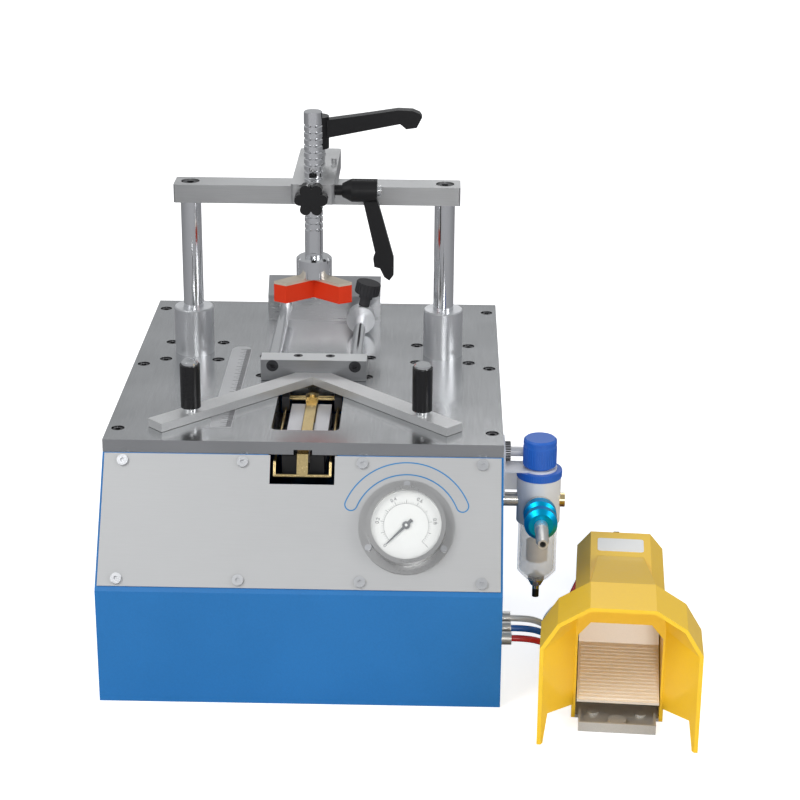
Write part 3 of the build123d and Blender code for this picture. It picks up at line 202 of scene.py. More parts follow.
@dataclass(frozen=True)
class Finish:
    """A surface finish and its grain.

    The grain runs along an axis, and its size and relief are in millimetres. Depth is how strong the relief
    looks and shade is how far the colour varies. The bands are the parts of the pattern, from 0 to 1, over
    which colour and roughness change, and wear is how far the roughness does.
    """

    name: str
    colour: Point
    metallic: float = 0.0
    roughness: float = 0.4
    grain: Grain = Grain.SMOOTH
    run: Axis = Axis.X
    size: float = 1.0
    depth: float = 0.05
    shade: float = 0.12
    alpha: float = 1.0
    coat: float = 0.0
    shine: float = 0.5
    zones: tuple[Zone, ...] = ()
    drawn_out: float = 0.02
    cloud_scale: float = 14.0
    relief: float = 0.3
    shade_band: Spot = (0.3, 0.7)
    lighter: float = 0.6
    wear_band: Spot = (0.25, 0.75)
    wear: Spot = (0.8, 1.25)

    def stretch(self) -> Point:
        """Pattern scale along each axis.

        Returns:
            Patches per metre along X, Y and Z.
        """
        fine = 1.0 / (self.size * MM)
        along, across = fine, fine
        if self.grain is Grain.BRUSHED:
            along = fine * self.drawn_out
        elif self.grain is Grain.TURNED:
            across = fine * self.drawn_out
        scale = [across, across, across]
        scale[self.run.value] = along
        return (scale[0], scale[1], scale[2])

    def varied_colour(self, desk: NodeDesk, pattern: Socket) -> Socket:
        """Colour that varies with the pattern.

        Args:
            desk: The material's nodes.
            pattern: The pattern, from 0 to 1.

        Returns:
            The colour.
        """
        node = desk.add("ShaderNodeValToRGB")
        low, high = node.color_ramp.elements
        low.position, high.position = self.shade_band
        low.color = (*(c * (1.0 - self.shade) for c in self.colour), 1.0)
        high.color = (*(min(1.0, c * (1.0 + self.shade * self.lighter)) for c in self.colour), 1.0)
        desk.join(pattern, node.inputs["Fac"])
        return node.outputs["Color"]

    def varied_roughness(self, desk: NodeDesk, pattern: Socket) -> Socket:
        """Roughness that varies with the pattern.

        Args:
            desk: The material's nodes.
            pattern: The pattern, from 0 to 1.

        Returns:
            The roughness.
        """
        node = desk.add("ShaderNodeMapRange")
        node.inputs["From Min"].default_value = self.wear_band[0]
        node.inputs["From Max"].default_value = self.wear_band[1]
        node.inputs["To Min"].default_value = max(0.02, self.roughness * self.wear[0])
        node.inputs["To Max"].default_value = min(1.0, self.roughness * self.wear[1])
        desk.join(pattern, node.inputs["Value"])
        return node.outputs["Result"]

    def paint(self, desk: NodeDesk, shader: bpy.types.Node, place: Socket, pattern: Socket) -> None:
        """Colour, roughness and metal, with the finish's zones.

        Args:
            desk: The material's nodes.
            shader: The surface's shader.
            place: Object coordinates.
            pattern: The pattern, from 0 to 1.
        """
        colour = self.varied_colour(desk, pattern)
        roughness = self.varied_roughness(desk, pattern)
        metallic: Fed = self.metallic
        split = desk.add("ShaderNodeSeparateXYZ")
        desk.join(place, split.inputs["Vector"])
        for zone in self.zones:
            share = zone.share(desk, split)
            colour = desk.blend(Mix.COLOUR, share, colour, (*zone.colour, 1.0))
            roughness = desk.blend(Mix.NUMBER, share, roughness, zone.roughness)
            metallic = desk.blend(Mix.NUMBER, share, metallic, zone.metallic)
        desk.join(colour, shader.inputs["Base Color"])
        desk.join(roughness, shader.inputs["Roughness"])
        desk.feed(metallic, shader.inputs["Metallic"])

    def emboss(self, desk: NodeDesk, shader: bpy.types.Node, height: Socket) -> None:
        """Fine relief of the grain.

        Args:
            desk: The material's nodes.
            shader: The surface's shader.
            height: The relief, from 0 to 1.
        """
        bump = desk.add("ShaderNodeBump")
        bump.inputs["Strength"].default_value = self.depth
        bump.inputs["Distance"].default_value = self.relief * MM
        desk.join(height, bump.inputs["Height"])
        desk.join(bump.outputs["Normal"], shader.inputs["Normal"])

    def material(self) -> bpy.types.Material:
        """Node material of this finish.

        Returns:
            A material that reads Object coordinates.
        """
        known = bpy.data.materials.get(self.name)
        if known is not None:
            return known
        made = bpy.data.materials.new(self.name)
        made.use_nodes = True
        desk = NodeDesk(made.node_tree)
        shader = made.node_tree.nodes["Principled BSDF"]
        place = desk.add("ShaderNodeTexCoord").outputs["Object"]
        mapping = desk.add("ShaderNodeMapping")
        mapping.inputs["Scale"].default_value = self.stretch()
        desk.join(place, mapping.inputs["Vector"])
        fine = desk.noise(mapping.outputs["Vector"], scale=1.0, layers=3.0)
        broad = desk.noise(place, scale=self.cloud_scale, layers=4.0)
        pattern = desk.sum_of("MULTIPLY", desk.sum_of("ADD", fine, broad), 0.5)
        self.paint(desk, shader, place, pattern)
        shader.inputs["Alpha"].default_value = self.alpha
        shader.inputs["Coat Weight"].default_value = self.coat
        shader.inputs["Specular IOR Level"].default_value = self.shine
        if self.depth > 0:
            self.emboss(desk, shader, fine)
        return made


# Places of the frame that finishes and marks keep to, in millimetres
PLATE_FRONT = -162.5
PLATE_TOP = 223.0
BLOCK_TOP_EDGE = PLATE_TOP + 20.9
HANDLE_CAP = PLATE_TOP + 53.7
PAD_TOP = 320.6
ARM_STUD_TOP = 433.0
ROD_LEVER_WASHER = 60.2
ROD_LEVER_HUB = 400.5
STAR_KNOB_COLLAR = PLATE_FRONT + 151.2
SPINDLE_SIDE = 90.0
NOTCH_SHADE = PLATE_FRONT + 20.0
DRAIN_TOP = 66.0
PORT_PLUG = 233.0

BRIGHT: Point = (0.83, 0.84, 0.85)
BLACK: Point = (0.011, 0.011, 0.012)
BRASS: Point = (0.85, 0.68, 0.36)
BLUE_PAINT = Finish(
    "blue_powder_coat", (0.008, 0.165, 0.46), 0.0, 0.45, Grain.PEEL, size=1.6, depth=0.25, shade=0.08,
)
STAINLESS = Finish(
    "brushed_panel", (0.5, 0.505, 0.51), 0.45, 0.55, Grain.BRUSHED, size=0.5, depth=0.08, shade=0.07,
)
POLISHED = Finish(
    "polished_plate", (0.6, 0.61, 0.62), 1.0, 0.2, Grain.BRUSHED, Axis.Y, size=0.6, depth=0.05, shade=0.1,
)
GROUND = Finish(
    "ground_steel", (0.58, 0.585, 0.6), 1.0, 0.3, Grain.BRUSHED, size=0.4, depth=0.08, shade=0.1,
)
CROSSBAR = Finish(
    "ground_crossbar", (0.52, 0.525, 0.53), 0.9, 0.38, Grain.BRUSHED, size=0.5, depth=0.1, shade=0.12,
)
BAR_STEEL = Finish(
    "milled_bar", (0.64, 0.645, 0.65), 0.65, 0.4, Grain.SPECKLED, size=0.7, depth=0.12, shade=0.2,
)
ZINC = Finish("bright_zinc", (0.6, 0.61, 0.63), 0.85, 0.34, Grain.SPECKLED, size=0.8, depth=0.1)
CHROME = Finish("chrome", (0.88, 0.89, 0.9), 1.0, 0.07, Grain.SMOOTH, size=3.0, depth=0.01, shade=0.03)
TURNED = Finish(
    "turned_aluminium", (0.74, 0.75, 0.77), 0.95, 0.34, Grain.TURNED, Axis.Z,
    size=0.4, depth=0.04, shade=0.05,
)
BLACKENED = Finish("blackened_steel", (0.05, 0.05, 0.055), 0.75, 0.34, Grain.SPECKLED, size=0.8, depth=0.06)
FENCE_STEEL = replace(
    BLACKENED,
    name="fence_fasteners",
    zones=(
        Zone(Axis.X, SPINDLE_SIDE, True, BRIGHT, 1.0, 0.12),
        Zone(Axis.X, -SPINDLE_SIDE, False, BRIGHT, 1.0, 0.12),
    ),
)
GUIDE_BLOCK = Finish(
    "block_two_tone", (0.27, 0.275, 0.285), 0.7, 0.38, Grain.BRUSHED, size=0.4, depth=0.06,
    zones=(Zone(Axis.Z, BLOCK_TOP_EDGE, True, (0.66, 0.67, 0.68), 0.9, 0.3),),
)
NICKEL = Finish("nickel", (0.74, 0.72, 0.68), 1.0, 0.2, Grain.SPECKLED, size=1.2, depth=0.05)
FITTINGS = replace(
    NICKEL,
    name="nickel_fittings",
    zones=(
        Zone(Axis.Z, DRAIN_TOP, False, BLACK, 0.0, 0.4),
        Zone(Axis.X, PORT_PLUG, True, BRASS, 1.0, 0.2),
    ),
)
SATIN = Finish("satin_bezel", (0.5, 0.5, 0.5), 0.9, 0.3, Grain.SPECKLED, size=0.6, depth=0.05, shade=0.06)
GOLD = Finish("yellow_zinc", (0.8, 0.62, 0.3), 1.0, 0.24, Grain.SPECKLED, size=1.5, depth=0.06, shade=0.2)
BLACK_PLASTIC = Finish(
    "black_plastic", BLACK, 0.0, 0.38, Grain.SPECKLED, size=0.5, depth=0.15, shine=0.25,
)
STAR = replace(
    BLACK_PLASTIC,
    name="star_knob_moulding",
    roughness=0.35,
    depth=0.12,
    zones=(Zone(Axis.Y, STAR_KNOB_COLLAR, True, BRIGHT, 1.0, 0.2),),
)
HANDLE = replace(
    BLACK_PLASTIC,
    name="handle_sleeve",
    roughness=0.25,
    depth=0.1,
    shine=0.35,
    zones=(Zone(Axis.Z, HANDLE_CAP, True, BRIGHT, 1.0, 0.12),),
)
ROD_LEVER = replace(
    BLACK_PLASTIC,
    name="swing_lever",
    roughness=0.33,
    depth=0.1,
    zones=(
        Zone(Axis.X, ROD_LEVER_WASHER, True, BRIGHT, 1.0, 0.2),
        Zone(Axis.Z, ROD_LEVER_HUB, False, BLACK, 0.0, 0.33),
    ),
)
ARM_LEVER = replace(
    BLACK_PLASTIC,
    name="arm_lever",
    roughness=0.33,
    depth=0.1,
    zones=(Zone(Axis.Z, ARM_STUD_TOP, False, BRIGHT, 1.0, 0.2),),
)
# Red pad; the beige, partly metallic zone above PAD_TOP is a painted reflection of white light on the pad's
# glossy top face.
RED_PAD = Finish(
    "red_pad_painted_sheen", (0.66, 0.035, 0.006), 0.0, 0.5, Grain.SPECKLED, size=0.6, depth=0.2, shine=0.2,
    zones=(Zone(Axis.Z, PAD_TOP, True, (0.62, 0.55, 0.45), 0.4, 0.35),),
)
MAGAZINE = Finish(
    "pale_rail", (0.66, 0.67, 0.7), 0.3, 0.35, Grain.BRUSHED, Axis.Y, size=0.5, depth=0.05, shade=0.06,
    zones=(Zone(Axis.Y, NOTCH_SHADE, False, BLACK, 0.0, 0.6),),
)
PALE_CASTING = Finish(
    "pale_casting", (0.74, 0.74, 0.75), 0.1, 0.38, Grain.SPECKLED, size=0.9, depth=0.1, shade=0.05,
)
BRACKET = replace(PALE_CASTING, name="bracket_casting", colour=(0.76, 0.76, 0.77))
BLUE_MOULDING = Finish("blue_moulding", (0.02, 0.13, 0.55), 0.0, 0.36, Grain.SPECKLED, size=0.7, depth=0.08)
BLUE_ANODISED = Finish(
    "blue_anodised", (0.005, 0.2, 0.5), 0.9, 0.26, Grain.TURNED, Axis.Y, size=0.4, depth=0.05, shade=0.08,
)
BOWL = Finish(
    "clear_bowl", (0.78, 0.78, 0.77), 0.0, 0.08, size=5.0, depth=0.0, shade=0.04, alpha=0.34, coat=0.4,
)
SINTER = Finish(
    "sintered_filter", (0.72, 0.55, 0.36), 0.0, 0.8, Grain.SPECKLED, size=0.5, depth=0.6, shade=0.25,
)
YELLOW = Finish(
    "yellow_enamel", (1.0, 0.62, 0.025), 0.0, 0.36, Grain.PEEL, size=3.0, depth=0.04, shade=0.04, coat=0.2,
)
PEDAL = Finish(
    "pedal_plate", (0.95, 0.88, 0.78), 0.1, 0.38, Grain.SPECKLED, size=1.0, depth=0.08, shade=0.05,
)
TRAY = Finish("tray_plate", (0.7, 0.69, 0.66), 0.5, 0.4, Grain.SPECKLED, size=1.0, depth=0.06)
DIAL_WHITE = Finish("dial_face", (0.92, 0.92, 0.89), 0.0, 0.5, size=2.0, depth=0.0, shade=0.02)
GLASS = Finish("window_glass", (0.9, 0.93, 0.95), 0.0, 0.04, size=5.0, depth=0.0, shade=0.0, alpha=0.12)
LABEL_WHITE = Finish("blank_label", (0.9, 0.9, 0.88), 0.0, 0.35, size=2.0, depth=0.0, shade=0.02)
INK = Finish("dial_ink", (0.015, 0.015, 0.02), 0.0, 0.5, depth=0.0, shade=0.0)
ETCH = Finish("ruler_etch", (0.16, 0.16, 0.17), 0.4, 0.5, depth=0.0, shade=0.05)
BLUE_INK = Finish("blue_line", (0.03, 0.22, 0.5), 0.0, 0.4, depth=0.0, shade=0.04)
BLUE_TUBE = Finish("blue_air_tube", (0.015, 0.16, 0.62), 0.0, 0.25, size=6.0, depth=0.0, shade=0.1, coat=0.3)
RED_TUBE = replace(BLUE_TUBE, name="red_air_tube", colour=(0.68, 0.02, 0.02))
WHITE_TUBE = replace(BLUE_TUBE, name="white_air_tube", colour=(0.8, 0.82, 0.84), shade=0.05)


def build_mesh(name: str, points: list[Point], faces: list[list[int]]) -> bpy.types.Mesh:
    """Mesh from points in metres.

    Args:
        name: Name of the mesh.
        points: Corner points in metres.
        faces: Point numbers of each face.

    Returns:
        The mesh, with its faces turned outwards.
    """
    mesh = bpy.data.meshes.new(name)
    mesh.from_pydata(points, [], faces)
    work = bmesh.new()
    work.from_mesh(mesh)
    bmesh.ops.remove_doubles(work, verts=work.verts, dist=1e-7)
    bmesh.ops.recalc_face_normals(work, faces=work.faces)
    work.to_mesh(mesh)
    work.free()
    return mesh


def add_object(name: str, data: bpy.types.ID | None) -> bpy.types.Object:
    """New object in the scene, at the origin.

    Args:
        name: Name of the object.
        data: Its mesh, curve, lamp or camera.

    Returns:
        The object.
    """
    made = bpy.data.objects.new(name, data)
    bpy.context.scene.collection.objects.link(made)
    return made


def plain_mesh(holder: bpy.types.Object) -> bpy.types.Mesh:
    """Evaluated shape of an object, which is then removed.

    Args:
        holder: Object with a modifier, or one that holds a text.

    Returns:
        Its shape as a plain mesh.
    """
    graph = bpy.context.evaluated_depsgraph_get()
    mesh = bpy.data.meshes.new_from_object(holder.evaluated_get(graph))
    bpy.data.objects.remove(holder)
    return mesh


def shifted(x: float, y: float, z: float) -> Matrix:
    """Matrix that moves by millimetres."""
    return Matrix.Translation(Vector((x, y, z)) * MM)


def put(mesh: bpy.types.Mesh, finish: Finish, body: str) -> None:
    """Adds a piece that rides on a body.

    Args:
        mesh: The piece's mesh, in place, which also gives its name.
        finish: Its finish.
        body: The body that carries it.
    """
    piece = add_object(mesh.name, mesh)
    mesh.materials.clear()
    mesh.materials.append(finish.material())
    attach(piece, body)
    LOG.info("piece %s on %s", piece.name, body)


@dataclass(frozen=True)
class Pattern:
    """How a block is repeated, in millimetres and radians.

    With a radius the blocks stand on an arc, each turned with it, and with a pitch they stand on a line.
    """

    count: int
    size: Point
    radius: float = 0.0
    start: float = 0.0
    turn: float = 0.0
    pitch: Point = (0.0, 0.0, 0.0)

    @classmethod
    def ring(cls, count: int, radius: float, size: Point) -> Pattern:
        """Blocks evenly spaced all the way round."""
        return cls(count, size, radius, turn=2 * math.pi / count)

    def inputs(self) -> dict[str, object]:
        """The node tree's inputs.

        Returns:
            Values by name, with lengths in metres.
        """
        return {
            "Count": self.count,
            "Radius": self.radius * MM,
            "Start": self.start,
            "Turn": self.turn,
            "Pitch": tuple(v * MM for v in self.pitch),
            "Size": tuple(v * MM for v in self.size),
        }


@dataclass(frozen=True)
class Grower:
    """Geometry Nodes that repeat a block along a line or round an arc."""

    name: str = "repeat_block"

    def declare(self, face: bpy.types.NodeTreeInterface) -> None:
        """Names the tree's inputs and its output.

        Args:
            face: The tree's interface.
        """
        face.new_socket("Count", in_out="INPUT", socket_type="NodeSocketInt")
        for label in ("Radius", "Start", "Turn"):
            face.new_socket(label, in_out="INPUT", socket_type="NodeSocketFloat")
        face.new_socket("Pitch", in_out="INPUT", socket_type="NodeSocketVector")
        face.new_socket("Size", in_out="INPUT", socket_type="NodeSocketVector")
        face.new_socket("Finish", in_out="INPUT", socket_type="NodeSocketMaterial")
        face.new_socket("Geometry", in_out="OUTPUT", socket_type="NodeSocketGeometry")

    def angle(self, desk: NodeDesk, given: bpy.types.NodeOutputs) -> Socket:
        """Each block's angle round the arc.

        Args:
            desk: The tree's nodes.
            given: The tree's inputs.

        Returns:
            The angle in radians.
        """
        node = desk.add("ShaderNodeMath", operation="MULTIPLY_ADD")
        desk.join(desk.add("GeometryNodeInputIndex").outputs["Index"], node.inputs[0])
        desk.join(given["Turn"], node.inputs[1])
        desk.join(given["Start"], node.inputs[2])
        return node.outputs[0]

    def places(self, desk: NodeDesk, given: bpy.types.NodeOutputs, angle: Socket) -> Socket:
        """Points that the blocks stand on.

        Args:
            desk: The tree's nodes.
            given: The tree's inputs.
            angle: Each block's angle.

        Returns:
            The points.
        """
        line = desk.add("GeometryNodeMeshLine")
        desk.join(given["Count"], line.inputs["Count"])
        desk.join(given["Pitch"], line.inputs["Offset"])
        direction = desk.add("ShaderNodeCombineXYZ")
        desk.join(desk.sum_of("COSINE", angle), direction.inputs["X"])
        desk.join(desk.sum_of("SINE", angle), direction.inputs["Y"])
        reach = desk.add("ShaderNodeVectorMath", operation="SCALE")
        desk.join(direction.outputs["Vector"], reach.inputs["Vector"])
        desk.join(given["Radius"], reach.inputs["Scale"])
        shift = desk.add("GeometryNodeSetPosition")
        desk.join(line.outputs["Mesh"], shift.inputs["Geometry"])
        desk.join(reach.outputs["Vector"], shift.inputs["Offset"])
        return shift.outputs["Geometry"]

    def tree(self) -> bpy.types.NodeTree:
        """Node tree with named sizes.

        Returns:
            The tree, which ends in real blocks of one finish.
        """
        known = bpy.data.node_groups.get(self.name)
        if known is not None:
            return known
        made = bpy.data.node_groups.new(self.name, "GeometryNodeTree")
        self.declare(made.interface)
        desk = NodeDesk(made)
        given = desk.add("NodeGroupInput").outputs
        angle = self.angle(desk, given)
        block = desk.add("GeometryNodeMeshCube")
        desk.join(given["Size"], block.inputs["Size"])
        turn = desk.add("ShaderNodeCombineXYZ")
        desk.join(angle, turn.inputs["Z"])
        spread = desk.add("GeometryNodeInstanceOnPoints")
        desk.join(self.places(desk, given, angle), spread.inputs["Points"])
        desk.join(block.outputs["Mesh"], spread.inputs["Instance"])
        desk.join(turn.outputs["Vector"], spread.inputs["Rotation"])
        real = desk.add("GeometryNodeRealizeInstances")
        desk.join(spread.outputs["Instances"], real.inputs["Geometry"])
        paint = desk.add("GeometryNodeSetMaterial")
        desk.join(real.outputs["Geometry"], paint.inputs["Geometry"])
        desk.join(given["Finish"], paint.inputs["Material"])
        desk.join(paint.outputs["Geometry"], desk.add("NodeGroupOutput").inputs["Geometry"])
        return made


@dataclass(frozen=True)
class Row:
    """A piece of repeated blocks, with its finish, body and material slot."""

    name: str
    pattern: Pattern
    finish: Finish
    body: str = "machine"
    slot: str = "black_plastic"

    def dress(self, place: Matrix) -> None:
        """Adds the piece, as a plain mesh.

        Args:
            place: Where the pattern's own origin goes.
        """
        tree = Grower().tree()
        holder = add_object(self.name + "_holder", bpy.data.meshes.new(self.name + "_seed"))
        modifier = holder.modifiers.new("repeat", "NODES")
        modifier.node_group = tree
        given = {**self.pattern.inputs(), "Finish": self.finish.material()}
        for item in tree.interface.items_tree:
            if item.in_out == "INPUT" and item.name in given:
                modifier[item.identifier] = given[item.name]
        mesh = plain_mesh(holder)
        mesh.name = self.name
        mesh.transform(place)
        put(mesh, self.finish, self.body)


@dataclass(frozen=True)
class SlantedFront:
    """The cabinet's slanted front and what lies on it, in millimetres and degrees."""

    base_y: float = -237.5
    base_z: float = 109.0
    run: float = 75.0
    rise: float = 102.0
    skin: float = 1.5
    gauge_x: float = 94.0
    gauge_s: float = 61.4
    dial_height: float = 10.0
    dial_gap: float = 0.02
    dial_start: float = 225.0
    dial_sweep: float = 270.0
    numbers: tuple[str, ...] = ("0", "0.2", "0.4", "0.6", "0.8", "1")
    number_radius: float = 25.6
    number_size: float = 4.6
    number_half_t: float = 0.06
    band_low: float = 48.0
    band_high: float = 59.0
    band_start: float = 22.0
    band_end: float = 158.0
    arc_steps: int = 48
    cap_steps: int = 12
    line_half: float = 0.55
    line_height: float = 0.12

    def frame(self, x: float, s: float, height: float) -> Matrix:
        """Matrix that lays a pattern on the slanted front.

        Args:
            x: Place across.
            s: Place up the slope.
            height: Height above the sheet.

        Returns:
            A matrix whose Z is the front's outward normal.
        """
        length = math.hypot(self.run, self.rise)
        side = Vector((1, 0, 0))
        up = Vector((0, self.run / length, self.rise / length))
        out = Vector((0, -self.rise / length, self.run / length))
        origin = Vector((0, self.base_y, self.base_z)) * MM + up * (s * MM) + out * (height * MM)
        origin.x = x * MM
        return Matrix((
            (side.x, up.x, out.x, origin.x),
            (side.y, up.y, out.y, origin.y),
            (side.z, up.z, out.z, origin.z),
            (0, 0, 0, 1),
        ))

    def arc(self, radius: float, first: float, last: float) -> list[Spot]:
        """Points on an arc about the gauge's centre.

        Args:
            radius: Radius of the arc.
            first: Angle of its first point.
            last: Angle of its last point.

        Returns:
            The points.
        """
        points = []
        for i in range(self.arc_steps + 1):
            a = math.radians(first + (last - first) * i / self.arc_steps)
            points.append((radius * math.cos(a), radius * math.sin(a)))
        return points

    def cap(self, at: float, turned: float) -> list[Spot]:
        """Points of the half circle round an end of the band.

        Args:
            at: Angle of that end.
            turned: Angle from there to the half circle's own start.

        Returns:
            The points between the two arcs.
        """
        middle = (self.band_low + self.band_high) / 2
        radius = (self.band_high - self.band_low) / 2
        end = math.radians(at)
        points = []
        for i in range(1, self.cap_steps):
            a = end + math.radians(turned) + math.pi * i / self.cap_steps
            x = middle * math.cos(end) + radius * math.cos(a)
            y = middle * math.sin(end) + radius * math.sin(a)
            points.append((x, y))
        return points

    def outline(self) -> list[Spot]:
        """Closed outline of the band.

        Returns:
            The points, about the gauge's centre.
        """
        path = self.arc(self.band_high, self.band_start, self.band_end)
        path += self.cap(self.band_end, turned=0.0)
        path += self.arc(self.band_low, self.band_end, self.band_start)
        return path + self.cap(self.band_start, turned=180.0)

    def line_mesh(self, name: str, path: list[Spot], place: Matrix) -> bpy.types.Mesh:
        """Raised closed line of even width.

        Args:
            name: Name of the mesh.
            path: Closed path.
            place: Where the path's origin goes.

        Returns:
            The line's mesh.
        """
        points: list[Point] = []
        faces: list[list[int]] = []
        count = len(path)
        section = ((1, 0.0), (1, self.line_height), (-1, self.line_height), (-1, 0.0))
        sides = len(section)
        for i, (x, y) in enumerate(path):
            j = (i + 1) % count
            ax, ay = path[i - 1]
            bx, by = path[j]
            length = math.hypot(bx - ax, by - ay)
            nx = -(by - ay) / length * self.line_half
            ny = (bx - ax) / length * self.line_half
            for sign, height in section:
                points.append(((x + sign * nx) * MM, (y + sign * ny) * MM, height * MM))
            for k in range(sides):
                m = (k + 1) % sides
                faces.append([i * sides + k, i * sides + m, j * sides + m, j * sides + k])
        mesh = build_mesh(name, points, faces)
        mesh.transform(place)
        return mesh

    def number(self, name: str, text: str, place: Matrix) -> None:
        """Adds a plain number to the dial.

        Args:
            name: Name of the piece.
            text: The number.
            place: The dial's matrix, turned so that the number stands upright.
        """
        curve = bpy.data.curves.new(name, "FONT")
        curve.body = text
        curve.size = self.number_size * MM
        curve.align_x = "CENTER"
        curve.align_y = "CENTER"
        curve.extrude = self.number_half_t * MM
        mesh = plain_mesh(add_object(name + "_holder", curve))
        mesh.name = name
        mesh.transform(place @ shifted(0.0, self.number_radius, self.number_half_t))
        put(mesh, INK, "machine")

    def scale(self, count: int, radius: float, size: Point) -> Pattern:
        """Marks along the dial's scale, from its start to its end.

        Args:
            count: Number of marks.
            radius: Distance of their middles from the dial's centre.
            size: Size of a mark outwards, round and up.

        Returns:
            The pattern.
        """
        turn = math.radians(-self.dial_sweep) / (count - 1)
        return Pattern(count, size, radius, math.radians(self.dial_start), turn)

    def dress(self) -> None:
        """Adds the printed band, the dial's ticks and its numbers."""
        on_skin = self.frame(self.gauge_x, self.gauge_s, self.skin)
        band = self.line_mesh("gauge_band", self.outline(), on_skin)
        put(band, BLUE_INK, "machine")
        on_dial = self.frame(self.gauge_x, self.gauge_s, self.dial_height + self.dial_gap)
        Row("dial_fine_ticks", self.scale(51, 20.9, (1.9, 0.22, 0.1)), INK).dress(on_dial)
        Row("dial_main_ticks", self.scale(11, 21.5, (3.2, 0.4, 0.12)), INK).dress(on_dial)
        Row("dial_arc", self.scale(180, 19.9, (0.24, 0.54, 0.1)), INK).dress(on_dial)
        for i, text in enumerate(self.numbers):
            angle = self.dial_start - self.dial_sweep * i / (len(self.numbers) - 1)
            turned = on_dial @ Matrix.Rotation(math.radians(angle - 90.0), 4, "Z")
            self.number(f"dial_number_{i}", text, turned)


@dataclass(frozen=True)
class Ruler:
    """The marks of the ruler that is let into the plate, in millimetres."""

    x: float = -77.5
    half: float = 10.0
    edge_gap: float = 0.6
    first: float = 36.0
    last: float = 246.0
    raised: float = 0.04
    mark_t: float = 0.12

    def marks(self, name: str, pitch: float, length: float, width: float) -> None:
        """Adds the marks of one length.

        Args:
            name: Name of the piece.
            pitch: Distance from mark to mark.
            length: Length of a mark, from the ruler's edge.
            width: Width of a mark.
        """
        count = int((self.last - self.first) / pitch) + 1
        pattern = Pattern(count, (length, width, self.mark_t), pitch=(0.0, pitch, 0.0))
        x = self.x + self.half - self.edge_gap - length / 2
        place = shifted(x, PLATE_FRONT + self.first, PLATE_TOP + self.raised)
        Row(name, pattern, ETCH).dress(place)

    def dress(self) -> None:
        """Adds the millimetre, half and full marks."""
        self.marks("ruler_fine_marks", pitch=1.0, length=4.5, width=0.22)
        self.marks("ruler_half_marks", pitch=5.0, length=7.0, width=0.32)
        self.marks("ruler_full_marks", pitch=10.0, length=10.0, width=0.42)


KNOB_RIBS = Row(
    "knob_ribs", Pattern.ring(40, 14.9, (1.0, 1.1, 17.0)),
    BLUE_MOULDING, "regulator_knob_body", "blue_plastic",
)
KNOB_COLLAR_RIBS = Row(
    "knob_collar_ribs", Pattern.ring(64, 14.7, (1.0, 0.7, 3.4)),
    BLUE_MOULDING, "regulator_knob_body", "blue_plastic",
)
RING_NUT_RIBS = Row(
    "ring_nut_ribs", Pattern.ring(60, 20.4, (0.9, 1.1, 5.4)), BLUE_MOULDING, slot="blue_plastic",
)
CLAMP_NUT_RIBS = Row("clamp_nut_ribs", Pattern.ring(26, 8.9, (0.9, 1.2, 4.8)), BLACK_PLASTIC)
COLLAR_KNOB_RIBS = Row(
    "collar_knob_ribs", Pattern.ring(22, 12.0, (1.2, 1.9, 10.4)), BLACK_PLASTIC, "collar_knob_body",
)


@dataclass(frozen=True)
class Regulator:
    """Ribs and knurls on the regulator's turned pieces, in millimetres."""

    x: float = 214.0
    y: float = -127.5
    knob_z: float = 200.5
    knob_collar_z: float = 213.2
    ring_nut_z: float = 183.5
    clamp_x: float = 185.3
    clamp_y: float = -107.5
    clamp_z: float = 195.0

    def dress(self) -> None:
        """Adds ribs to the knob, the ring nut and the clamp nut."""
        KNOB_RIBS.dress(shifted(self.x, self.y, self.knob_z))
        KNOB_COLLAR_RIBS.dress(shifted(self.x, self.y, self.knob_collar_z))
        RING_NUT_RIBS.dress(shifted(self.x, self.y, self.ring_nut_z))
        across = Matrix.Rotation(math.pi / 2, 4, "Y")
        CLAMP_NUT_RIBS.dress(shifted(self.clamp_x, self.clamp_y, self.clamp_z) @ across)


@dataclass(frozen=True)
class CollarKnob:
    """The knob that locks the collar on its guide rod, in millimetres and degrees."""

    x: float = 39.75
    y: float = PLATE_FRONT + 303.3
    z: float = PLATE_TOP + 15.1
    lean: float = 12.0
    reach: float = 34.0

    def dress(self) -> None:
        """Adds the ribs round its head."""
        leaning = Matrix.Rotation(math.radians(self.lean), 4, "Y")
        place = shifted(self.x, self.y, self.z) @ leaning @ shifted(0.0, 0.0, self.reach)
        COLLAR_KNOB_RIBS.dress(place)


@dataclass(frozen=True)
class FootValve:
    """The foot valve's own frame and the blank label on its cover, in millimetres and degrees."""

    x: float = 279.5
    y: float = -306.5
    turn: float = -4.0
    top: float = 100.0
    label_low: float = 189.0
    label_high: float = 217.0
    label_half: float = 21.5
    label_t: float = 0.4
    label_sunk: float = 0.02
    corner: float = 3.0
    corner_steps: int = 4

    def outline(self) -> list[Spot]:
        """Outline of the label, with round corners.

        Returns:
            The points, in the foot valve's own frame.
        """
        middle = (self.label_low + self.label_high) / 2
        half = (self.label_high - self.label_low) / 2
        path = []
        for x, y, start in ((1, 1, 0), (-1, 1, 90), (-1, -1, 180), (1, -1, 270)):
            for i in range(self.corner_steps + 1):
                a = math.radians(start + 90.0 / self.corner_steps * i)
                px = x * (self.label_half - self.corner) + self.corner * math.cos(a)
                py = middle + y * (half - self.corner) + self.corner * math.sin(a)
                path.append((px, py))
        return path

    def dress(self) -> None:
        """Adds the label."""
        path = self.outline()
        count = len(path)
        points = [
            (x * MM, y * MM, z * MM)
            for z in (self.top - self.label_sunk, self.top + self.label_t)
            for x, y in path
        ]
        faces = [list(range(count)), list(range(count, 2 * count))]
        faces += [[i, (i + 1) % count, count + (i + 1) % count, count + i] for i in range(count)]
        mesh = build_mesh("cover_label", points, faces)
        turned = Matrix.Rotation(math.radians(self.turn), 4, "Z")
        mesh.transform(shifted(self.x, self.y, 0.0) @ turned)
        put(mesh, LABEL_WHITE, "machine")


